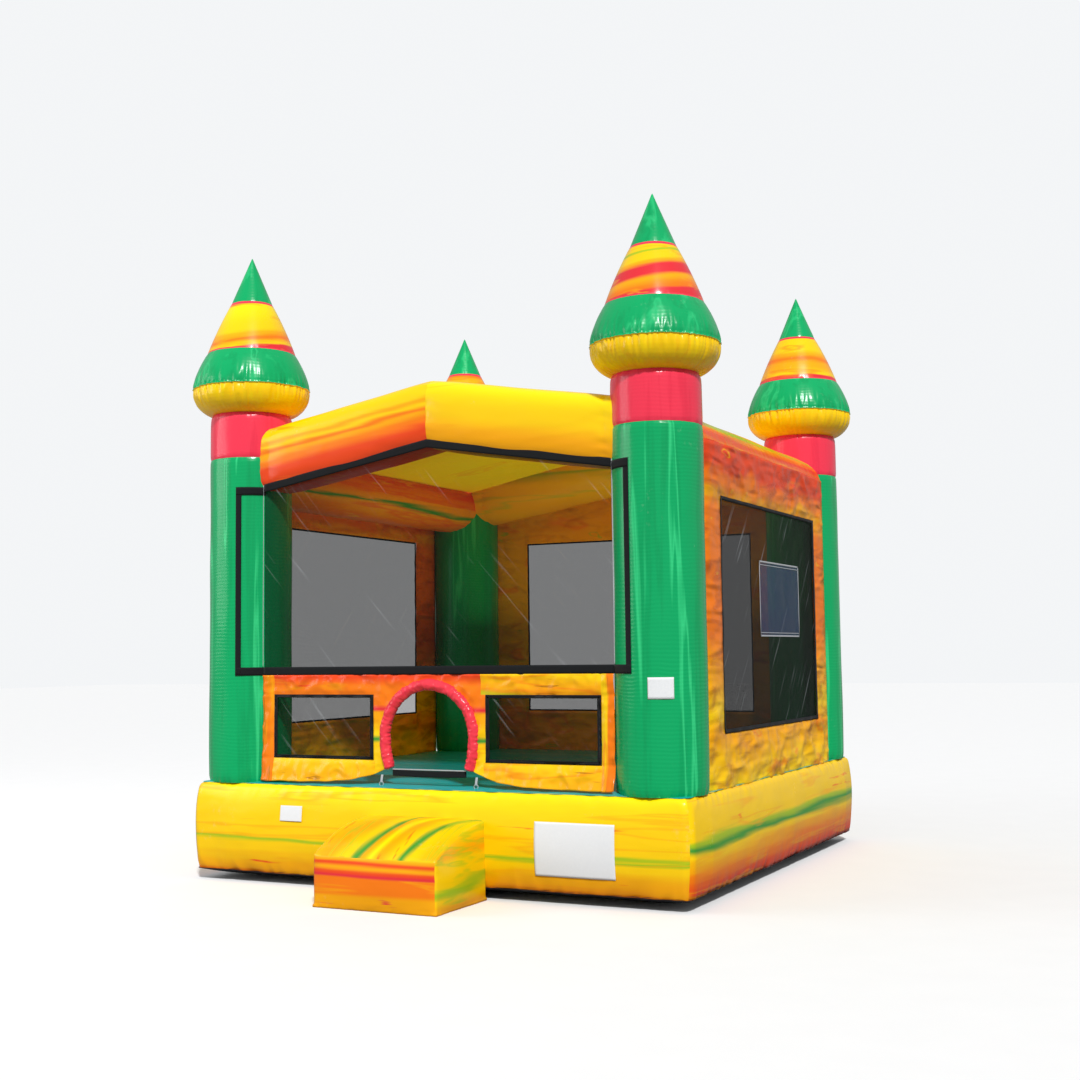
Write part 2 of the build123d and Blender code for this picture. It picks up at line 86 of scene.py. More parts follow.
class Dye(Enum):
    """Colours of the coated cloth, and a dark brown for painted shade, as sRGB hex."""

    YELLOW = "ffd008"
    LEMON = "ffe308"
    AMBER = "fbab08"
    ORANGE = "f97d10"
    FLAME = "ef4a1c"
    RED = "e4303a"
    # painted shade colour: dark brown for shade at the skirt's foot and in the wall creases
    RUST = "8c2a0e"
    OCHRE = "b5720a"
    GREEN = "3f9a34"
    LIME = "a9c41c"
    COLUMN = "02a862"
    COLUMN_PALE = "3ddc8c"
    COLUMN_DEEP = "018a4e"
    COLLAR = "f63a54"
    COLLAR_DEEP = "dd2442"
    TEAL = "12a6a8"
    TEAL_PALE = "38c0bd"
    TRIM = "ee3c4c"
    TRIM_DEEP = "c42234"
    BLACK = "0b0c0e"
    COAL = "1b1d20"
    GREY = "8e9296"
    PALE = "c9ccd0"
    WHITE = "f2f3f4"
    BONE = "e4e6e8"
    FILM = "4c6cb4"
    FILM_DEEP = "10204c"
    BELLY = "3c4046"
    STEEL = "c4c8cc"

    @property
    def linear(self) -> tuple[float, float, float, float]:
        """The colour as scene-linear RGBA.

        Returns:
            Red, green, blue and alpha.
        """
        parts = [int(self.value[i : i + 2], 16) / 255 for i in (0, 2, 4)]
        red, green, blue = (
            c / 12.92 if c <= 0.04045 else ((c + 0.055) / 1.055) ** 2.4 for c in parts
        )
        return (red, green, blue, 1.0)


class Facing(Enum):
    """Which upright wall a sheet belongs to, as (outward x, outward y)."""

    LEFT = (-1, 0)
    RIGHT = (1, 0)
    BACK = (0, 1)
    FRONT = (0, -1)


# ------------------------------------------------------------------ shader wiring
class Wiring:
    """Adds nodes to one node tree and joins their sockets."""

    def __init__(self, tree: bpy.types.NodeTree) -> None:
        """Keeps the tree.

        Args:
            tree: the node tree to build in.
        """
        self.tree = tree

    def add(self, kind: str, feeds: dict[Any, Any] | None = None, **settings: Any) -> Node:
        """Adds a node.

        Args:
            kind: the node's type name without its ShaderNode prefix.
            feeds: input name or index to a socket to link or a value to set.
            settings: node properties.

        Returns:
            The new node.
        """
        node = self.tree.nodes.new("ShaderNode" + kind if not kind.startswith("Node") else kind)
        for name, value in settings.items():
            setattr(node, name, value)
        for key, value in (feeds or {}).items():
            if isinstance(value, Socket):
                self.tree.links.new(value, node.inputs[key])
            else:
                node.inputs[key].default_value = value
        return node

    def link(self, source: Socket, target: Socket) -> None:
        """Joins an output to an input."""
        self.tree.links.new(source, target)

    def math(self, operation: str, *values: Any, clamp: bool = False) -> Socket:
        """Adds a Math node and returns its output socket."""
        return self.add("Math", dict(enumerate(values)), operation=operation, use_clamp=clamp).outputs[0]

    def vector(self, operation: str, *values: Any) -> Node:
        """Adds a Vector Math node and returns it."""
        return self.add("VectorMath", dict(enumerate(values)), operation=operation)

    def ramp(self, level: Socket, stops: Sequence[tuple[float, Dye]]) -> Socket:
        """Adds a colour ramp.

        Args:
            level: the socket that drives it.
            stops: position and dye of each stop, in order.

        Returns:
            The colour output.
        """
        node = self.add("ValToRGB", {0: level})
        bar = node.color_ramp
        bar.interpolation = "EASE"
        while len(bar.elements) < len(stops):
            bar.elements.new(0.5)
        for element, (position, dye) in zip(bar.elements, stops):
            element.position = position
            element.color = dye.linear
        return node.outputs[0]

    def blend(self, factor: Any, first: Any, second: Any) -> Socket:
        """Mixes two colours by a factor and returns the colour."""
        node = self.add("Mix", {0: factor, 6: first, 7: second}, data_type="RGBA")
        return node.outputs[2]

    def noise(self, where: Any, scale: Any, detail: float, rough: float = 0.5, twist: float = 0.0) -> Socket:
        """Adds a noise and returns its level."""
        feeds = {"Vector": where, "Scale": scale, "Detail": detail, "Roughness": rough, "Distortion": twist}
        return self.add("TexNoise", feeds).outputs[0]

    def remap(self, level: Socket, low: float, high: float, top: float = 1.0) -> Socket:
        """Spreads a level from between low and high to between 0 and top."""
        return self.add("MapRange", {0: level, 1: low, 2: high, 3: 0.0, 4: top}).outputs[0]

    def band(self, level: Any, centre: float, width: float) -> Socket:
        """A soft mask that is 1 where level is near centre and 0 beyond width."""
        away = self.math("ABSOLUTE", self.math("SUBTRACT", level, centre))
        return self.math("SUBTRACT", 1.0, self.math("DIVIDE", away, width), clamp=True)


class EffectLibrary:
    """Shader effects that several finishes share, each built once as a node group."""

    def __init__(self) -> None:
        """Builds every group."""
        self.dye_flow = self._dye_flow()
        self.vinyl_skin = self._vinyl_skin()
        self.net_weave = self._net_weave()
        self.cloth_weave = self._cloth_weave()

    def _open(
        self, name: str, inputs: Sequence[tuple[str, str, Any]], outputs: Sequence[tuple[str, str]]
    ) -> tuple[Wiring, Any, Node]:
        """Starts a group.

        Args:
            name: the group's name.
            inputs: name, socket type and default of each input.
            outputs: name and socket type of each output.

        Returns:
            The wiring, the group's given sockets and its output node.
        """
        tree = bpy.data.node_groups.new(name, "ShaderNodeTree")
        for label, kind, default in inputs:
            socket = tree.interface.new_socket(name=label, in_out="INPUT", socket_type="NodeSocket" + kind)
            socket.default_value = default
        for label, kind in outputs:
            tree.interface.new_socket(name=label, in_out="OUTPUT", socket_type="NodeSocket" + kind)
        wiring = Wiring(tree)
        return wiring, wiring.add("NodeGroupInput").outputs, wiring.add("NodeGroupOutput")

    def _dye_flow(self) -> bpy.types.NodeTree:
        """Marbled dye: a level that runs across a panel and bends with the flow, and thin streaks along it.

        Returns:
            The group.
        """
        w, given, out = self._open(
            "dye_flow",
            [
                ("Vector", "Vector", (0, 0, 0)),
                ("Across", "Vector", (0, 0, 1)),
                ("Low", "Float", 0.0),
                ("High", "Float", 1.0),
                ("Stretch", "Vector", (1, 1, 4)),
                ("Warp", "Float", 0.4),
                ("Seed", "Float", 0.0),
            ],
            [("Level", "Float"), ("Streak", "Float"), ("Thread", "Float")],
        )
        run = w.vector("DOT_PRODUCT", given["Vector"], given["Across"]).outputs["Value"]
        level = w.add(
            "MapRange", {0: run, 1: given["Low"], 2: given["High"], 3: 0.0, 4: 1.0}, clamp=False
        ).outputs[0]
        shift = w.add("CombineXYZ", {0: given["Seed"], 1: given["Seed"], 2: given["Seed"]})
        flow = w.vector("MULTIPLY", given["Vector"], given["Stretch"]).outputs[0]
        place = w.vector("ADD", flow, shift.outputs[0]).outputs[0]
        swirl = w.noise(place, 1.0, 3.0, 0.5, 0.5)
        bend = w.math("MULTIPLY", w.math("SUBTRACT", swirl, 0.5), given["Warp"])
        streak = w.noise(place, 1.3, 3.0, 0.5, 0.3)
        thread = w.noise(place, 2.4, 3.0, 0.55, 0.2)
        w.link(w.math("ADD", level, bend), out.inputs["Level"])
        w.link(streak, out.inputs["Streak"])
        w.link(thread, out.inputs["Thread"])
        return w.tree

    def _vinyl_skin(self) -> bpy.types.NodeTree:
        """Coated cloth: creases, tension ribs, a fine scrim print-through, and scuffs.

        Returns:
            The group.
        """
        w, given, out = self._open(
            "vinyl_skin",
            [
                ("Vector", "Vector", (0, 0, 0)),
                ("Crease Scale", "Float", 4.0),
                ("Crease Depth", "Float", 0.5),
                ("Rib Along", "Vector", (0, 0, 1)),
                ("Rib Count", "Float", 70.0),
                ("Rib Depth", "Float", 0.2),
                ("Gloss", "Float", 0.25),
            ],
            [("Height", "Float"), ("Roughness", "Float"), ("Scuff", "Float"), ("Shade", "Float")],
        )
        where = given["Vector"]
        crease = w.add(
            "TexNoise",
            {
                "Vector": where, "Scale": given["Crease Scale"], "Detail": 3.0, "Roughness": 0.45,
                "Distortion": 0.4,
            },
            noise_type="RIDGED_MULTIFRACTAL",
        ).outputs[0]
        run = w.vector("DOT_PRODUCT", where, given["Rib Along"]).outputs["Value"]
        waver = w.noise(where, 3.0, 2.0)
        phase = w.math("ADD", w.math("MULTIPLY", run, given["Rib Count"]), w.math("MULTIPLY", waver, 14.0))
        rib = w.math("MULTIPLY", w.math("SINE", phase), waver)
        scrim = w.noise(where, 420.0, 1.0)
        height = w.math(
            "ADD",
            w.math("MULTIPLY", crease, given["Crease Depth"]),
            w.math("ADD", w.math("MULTIPLY", rib, given["Rib Depth"]), w.math("MULTIPLY", scrim, 0.015)),
        )
        dust = w.noise(where, 2.2, 6.0, 0.65)
        rough = w.math(
            "ADD", given["Gloss"], w.math("MULTIPLY", w.math("SUBTRACT", dust, 0.5), 0.22), clamp=True
        )
        fine = w.noise(where, 26.0, 4.0, 0.7)
        scuff = w.remap(w.math("MULTIPLY", fine, dust), 0.36, 0.48)
        shade = w.remap(crease, 0.0, 1.0)
        for name, socket in (("Height", height), ("Roughness", rough), ("Scuff", scuff), ("Shade", shade)):
            w.link(socket, out.inputs[name])
        return w.tree

    def _net_weave(self) -> bpy.types.NodeTree:
        """Knitted netting: crossed threads, and painted highlight streaks that stand in for sun glints on the
        threads.

        Returns:
            The group.
        """
        w, given, out = self._open(
            "net_weave",
            [
                ("Vector", "Vector", (0, 0, 0)),
                ("Warp Thread", "Vector", (1, 0, 0)),
                ("Weft Thread", "Vector", (0, 0, 1)),
                ("Slant", "Vector", (0, 0.85, 0)),
                ("Pitch", "Float", 0.004),
            ],
            [("Thread", "Float"), ("Glint", "Float")],
        )
        threads = []
        for name in ("Warp Thread", "Weft Thread"):
            run = w.vector("DOT_PRODUCT", given["Vector"], given[name]).outputs["Value"]
            turns = w.math("MULTIPLY", w.math("DIVIDE", run, given["Pitch"]), TURN)
            threads.append(w.math("MULTIPLY_ADD", w.math("SINE", turns), 0.5, 0.5))
        crossed = w.math("MAXIMUM", threads[0], threads[1])
        # painted highlight: slanted streaks in patches, standing in for sun glints on the net
        slant = w.add(
            "Mapping", {"Vector": given["Vector"], "Rotation": given["Slant"]}, vector_type="TEXTURE"
        )
        drawn = w.vector("MULTIPLY", slant.outputs[0], (1.0, 1.0, 26.0)).outputs[0]
        glint_run = w.noise(drawn, 1.1, 2.0, 0.5, 0.15)
        lines = w.remap(glint_run, 0.64, 0.72)
        patch = w.noise(given["Vector"], 1.7, 2.0)
        wear_and_glint = w.remap(patch, 0.38, 0.55)
        glint = w.math("MULTIPLY", lines, wear_and_glint)
        w.link(crossed, out.inputs["Thread"])
        w.link(glint, out.inputs["Glint"])
        return w.tree

    def _cloth_weave(self) -> bpy.types.NodeTree:
        """Woven tape: over-and-under threads with a little fuzz.

        Returns:
            The group.
        """
        w, given, out = self._open(
            "cloth_weave",
            [("Vector", "Vector", (0, 0, 0)), ("Scale", "Float", 900.0)],
            [("Height", "Float"), ("Tone", "Float")],
        )
        parts = w.add("SeparateXYZ", {0: given["Vector"]})
        lines = [w.math("SINE", w.math("MULTIPLY", parts.outputs[i], given["Scale"])) for i in range(3)]
        crossed = w.math(
            "MULTIPLY_ADD",
            w.math("ADD", w.math("MULTIPLY", lines[0], lines[2]), w.math("MULTIPLY", lines[1], lines[2])),
            0.25, 0.5,
        )
        fuzz = w.noise(given["Vector"], 60.0, 5.0)
        w.link(w.math("ADD", crossed, w.math("MULTIPLY", fuzz, 0.5)), out.inputs["Height"])
        w.link(w.math("MULTIPLY", w.math("ADD", crossed, fuzz), 0.5), out.inputs["Tone"])
        return w.tree


@dataclass(frozen=True)
class Finish:
    """What every finish has: a name, and a Principled shader that reads Object coordinates."""

    name: str

    def begin(self) -> tuple[Material, Wiring, Node, Socket]:
        """Starts the material.

        Returns:
            The material, its wiring, its Principled node and the coordinate socket.
        """
        material = bpy.data.materials.new(self.name)
        material.use_nodes = True
        wiring = Wiring(material.node_tree)
        shader = next(n for n in material.node_tree.nodes if n.type == "BSDF_PRINCIPLED")
        where = wiring.add("TexCoord").outputs["Object"]
        return material, wiring, shader, where

    def build(self, effects: EffectLibrary) -> Material:
        """Builds the material.

        Args:
            effects: the shared node groups.

        Returns:
            The material.
        """
        raise NotImplementedError


def bumped(w: Wiring, shader: Node, height: Socket, strength: float, distance: float) -> None:
    """Feeds a height through a Bump node to a shader's normal.

    Args:
        w: the material's wiring.
        shader: the Principled node.
        height: the height socket.
        strength: the bump's strength.
        distance: the bump's depth in metres.
    """
    bump = w.add("Bump", {"Strength": strength, "Distance": distance, "Height": height})
    w.link(bump.outputs[0], shader.inputs["Normal"])


@dataclass(frozen=True)
class Vein:
    """Thin veins of one dye: which level of the flow they follow and how wide they are."""

    dye: Dye
    at: float
    width: float


def dye_run(words: str) -> tuple[tuple[float, Dye], ...]:
    """Reads a run of dyes across a cloth.

    Args:
        words: the percent and dye name of each stop, such as "0 AMBER, 40 YELLOW".

    Returns:
        The position, from 0 to 1, and the dye of each stop.
    """
    pairs = (stop.split() for stop in words.split(","))
    return tuple((int(percent) / 100, Dye[name]) for percent, name in pairs)


def preset(node: Node, values: dict[str, Any]) -> None:
    """Sets inputs that stay the same all over the surface.

    Args:
        node: the node.
        values: input name to value.
    """
    for name, value in values.items():
        node.inputs[name].default_value = value


@dataclass(frozen=True)
class MarbledVinyl(Finish):
    """Glossy coated cloth with marbled dye that runs across the panel in bands."""

    stops: str = "0 YELLOW, 100 AMBER"
    across: tuple[float, float, float] = (0, 0, 1)
    low: float = 0.0
    high: float = 1.0
    stretch: tuple[float, float, float] = (1, 1, 5)
    warp: float = 0.5
    streak: Vein = Vein(Dye.ORANGE, 0.6, 0.05)
    strength: float = 0.6
    thread: Vein = Vein(Dye.FLAME, 0.64, 0.04)
    seed: float = 0.0
    gloss: float = 0.24
    specular: float = 0.28
    crease_scale: float = 3.0
    crease_depth: float = 0.45
    crease_reach: float = 0.02
    rib_along: tuple[float, float, float] = (0, 0, 1)
    rib_count: float = 60.0
    rib_depth: float = 0.05
    crease_stretch: tuple[float, float, float] = (1, 1, 1)
    # painted shade: the dark colour laid into the crumples as shade in the creases
    fold: Dye = Dye.RUST
    crease_shade_depth: float = 0.0
    through: float = 0.0

    def build(self, effects: EffectLibrary) -> Material:
        """Builds the material.

        Args:
            effects: the shared node groups.

        Returns:
            The material.
        """
        material, w, shader, where = self.begin()
        flow = w.add("Group", node_tree=effects.dye_flow)
        preset(flow, {"Across": self.across, "Low": self.low, "High": self.high})
        preset(flow, {"Stretch": self.stretch, "Warp": self.warp, "Seed": self.seed})
        w.link(where, flow.inputs["Vector"])
        colour = w.ramp(flow.outputs["Level"], dye_run(self.stops))
        band = w.band(flow.outputs["Streak"], self.streak.at, self.streak.width)
        colour = w.blend(w.math("MULTIPLY", band, self.strength), colour, self.streak.dye.linear)
        band = w.band(flow.outputs["Thread"], self.thread.at, self.thread.width)
        colour = w.blend(band, colour, self.thread.dye.linear)
        # painted shade: darkens the dye in noise crumples, standing in for shade in the creases
        if self.crease_shade_depth:
            broad = w.vector("MULTIPLY", where, self.crease_stretch).outputs[0]
            crumple = w.noise(broad, 5.0, 4.0, 0.55, 0.9)
            crease_shade_mask = w.remap(crumple, 0.5, 0.68, self.crease_shade_depth)
            colour = w.blend(crease_shade_mask, colour, self.fold.linear)
        if self.through:
            depth = (0.06, 0.035, 0.006)
            preset(
                shader,
                {"Subsurface Weight": self.through, "Subsurface Radius": depth, "Subsurface Scale": 1.0},
            )
        dress_vinyl(self, effects, w, shader, where, colour)
        return material


@dataclass(frozen=True)
class PlainVinyl(Finish):
    """Glossy coated cloth of one dye, with paler streaks painted in as highlight streaks."""

    dye: Dye = Dye.COLUMN
    pale: Dye = Dye.COLUMN_PALE
    deep: Dye = Dye.COLUMN_DEEP
    stretch: tuple[float, float, float] = (6, 6, 0.42)
    streak_width: float = 0.06
    strength: float = 0.4
    gloss: float = 0.24
    specular: float = 0.28
    crease_scale: float = 3.0
    crease_depth: float = 0.35
    crease_reach: float = 0.015
    rib_along: tuple[float, float, float] = (0, 0, 1)
    rib_count: float = 240.0
    rib_depth: float = 0.045
    crease_stretch: tuple[float, float, float] = (1, 1, 1)
    seed: float = 0.0

    def build(self, effects: EffectLibrary) -> Material:
        """Builds the material.

        Args:
            effects: the shared node groups.

        Returns:
            The material.
        """
        material, w, shader, where = self.begin()
        flow = w.add(
            "Group", {"Vector": where, "Stretch": self.stretch, "Seed": self.seed},
            node_tree=effects.dye_flow,
        )
        # painted highlight: the pale streaks stand in for sheen streaks along the glossy skin
        pale = w.math("MULTIPLY", w.band(flow.outputs["Streak"], 0.62, self.streak_width), self.strength)
        deep = w.math("MULTIPLY", w.band(flow.outputs["Thread"], 0.36, 0.1), 0.35)
        colour = w.blend(pale, w.blend(deep, self.dye.linear, self.deep.linear), self.pale.linear)
        dress_vinyl(self, effects, w, shader, where, colour)
        return material


def dress_vinyl(
    finish: MarbledVinyl | PlainVinyl,
    effects: EffectLibrary,
    w: Wiring,
    shader: Node,
    where: Socket,
    colour: Socket,
) -> None:
    """Adds what every coated cloth shows: creases, ribs, scuffs and a clear coat.

    Args:
        finish: the finish being built.
        effects: the shared node groups.
        w: the material's wiring.
        shader: its Principled node.
        where: the coordinate socket.
        colour: the dye colour so far.
    """
    skin = w.add(
        "Group",
        {
            "Vector": w.vector("MULTIPLY", where, finish.crease_stretch).outputs[0],
            "Crease Scale": finish.crease_scale,
            "Crease Depth": finish.crease_depth,
            "Rib Along": finish.rib_along,
            "Rib Count": finish.rib_count,
            "Rib Depth": finish.rib_depth,
            "Gloss": finish.gloss,
        },
        node_tree=effects.vinyl_skin,
    )
    wear_and_glint = w.blend(w.math("MULTIPLY", skin.outputs["Scuff"], 0.08), colour, Dye.WHITE.linear)
    w.link(wear_and_glint, shader.inputs["Base Color"])
    w.link(skin.outputs["Roughness"], shader.inputs["Roughness"])
    preset(shader, {"Specular IOR Level": finish.specular, "Coat Weight": 0.06, "Coat Roughness": 0.12})
    bumped(w, shader, skin.outputs["Height"], 0.6, finish.crease_reach)


@dataclass(frozen=True)
class NetCloth(Finish):
    """Black window netting that shows what is behind it."""

    warp_thread: tuple[float, float, float] = (1, 0, 0)
    slant: tuple[float, float, float] = (0, 0.85, 0)
    solid: float = 0.37
    woven: float = 0.26

    def build(self, effects: EffectLibrary) -> Material:
        """Builds the material.

        Args:
            effects: the shared node groups.

        Returns:
            The material.
        """
        material, w, shader, where = self.begin()
        net = w.add(
            "Group", {"Vector": where, "Warp Thread": self.warp_thread, "Slant": self.slant},
            node_tree=effects.net_weave,
        )
        # painted highlight: the glint mask lightens the black net to grey where sun glints show
        glint = w.math("MULTIPLY", net.outputs["Glint"], 0.5)
        w.link(w.blend(glint, Dye.BLACK.linear, Dye.GREY.linear), shader.inputs["Base Color"])
        w.link(w.math("MULTIPLY_ADD", net.outputs["Thread"], self.woven, self.solid), shader.inputs["Alpha"])
        preset(shader, {"Roughness": 0.55, "Specular IOR Level": 0.08})
        bumped(w, shader, net.outputs["Thread"], 0.4, 0.001)
        return material


@dataclass(frozen=True)
class WovenTape(Finish):
    """Matt woven tape, webbing or label cloth."""

    dye: Dye = Dye.BLACK
    second: Dye = Dye.COAL
    scale: float = 900.0
    roughness: float = 0.85
    sheen: float = 0.05

    def build(self, effects: EffectLibrary) -> Material:
        """Builds the material.

        Args:
            effects: the shared node groups.

        Returns:
            The material.
        """
        material, w, shader, where = self.begin()
        weave = w.add("Group", {"Vector": where, "Scale": self.scale}, node_tree=effects.cloth_weave)
        w.link(
            w.blend(weave.outputs["Tone"], self.dye.linear, self.second.linear), shader.inputs["Base Color"]
        )
        preset(shader, {"Roughness": self.roughness, "Specular IOR Level": 0.2, "Sheen Weight": self.sheen})
        bumped(w, shader, weave.outputs["Height"], 0.5, 0.0012)
        return material


@dataclass(frozen=True)
class ClearFilm(Finish):
    """Clear soft film, a little blue and clouded."""

    def build(self, effects: EffectLibrary) -> Material:
        """Builds the material.

        Args:
            effects: the shared node groups.

        Returns:
            The material.
        """
        material, w, shader, where = self.begin()
        cloud = w.noise(where, 5.0, 5.0, 0.6)
        w.link(w.blend(cloud, Dye.FILM.linear, Dye.FILM_DEEP.linear), shader.inputs["Base Color"])
        w.link(w.math("MULTIPLY_ADD", cloud, 0.4, 0.12), shader.inputs["Alpha"])
        shader.inputs["Roughness"].default_value = 0.12
        bumped(w, shader, cloud, 0.5, 0.02)
        return material


@dataclass(frozen=True)
class PlatedSteel(Finish):
    """Plated steel with fine scratches."""

    def build(self, effects: EffectLibrary) -> Material:
        """Builds the material.

        Args:
            effects: the shared node groups.

        Returns:
            The material.
        """
        material, w, shader, where = self.begin()
        scratch = w.noise(where, 140.0, 6.0, 0.7)
        w.link(w.blend(scratch, Dye.STEEL.linear, Dye.GREY.linear), shader.inputs["Base Color"])
        w.link(w.math("MULTIPLY_ADD", scratch, 0.3, 0.12), shader.inputs["Roughness"])
        shader.inputs["Metallic"].default_value = 1.0
        bumped(w, shader, scratch, 0.15, 0.0004)
        return material


@dataclass(frozen=True)
class MouldedNylon(Finish):
    """Black moulded nylon, with teeth along a zip."""

    teeth: float = 0.0

    def build(self, effects: EffectLibrary) -> Material:
        """Builds the material.

        Args:
            effects: the shared node groups.

        Returns:
            The material.
        """
        material, w, shader, where = self.begin()
        grain = w.noise(where, 300.0, 3.0)
        parts = w.add("SeparateXYZ", {0: where})
        tooth = w.math("MULTIPLY", w.math("SINE", w.math("MULTIPLY", parts.outputs[0], 1600.0)), self.teeth)
        w.link(w.blend(grain, Dye.BLACK.linear, Dye.COAL.linear), shader.inputs["Base Color"])
        shader.inputs["Roughness"].default_value = 0.42
        bumped(w, shader, w.math("ADD", grain, tooth), 0.5, 0.001)
        return material


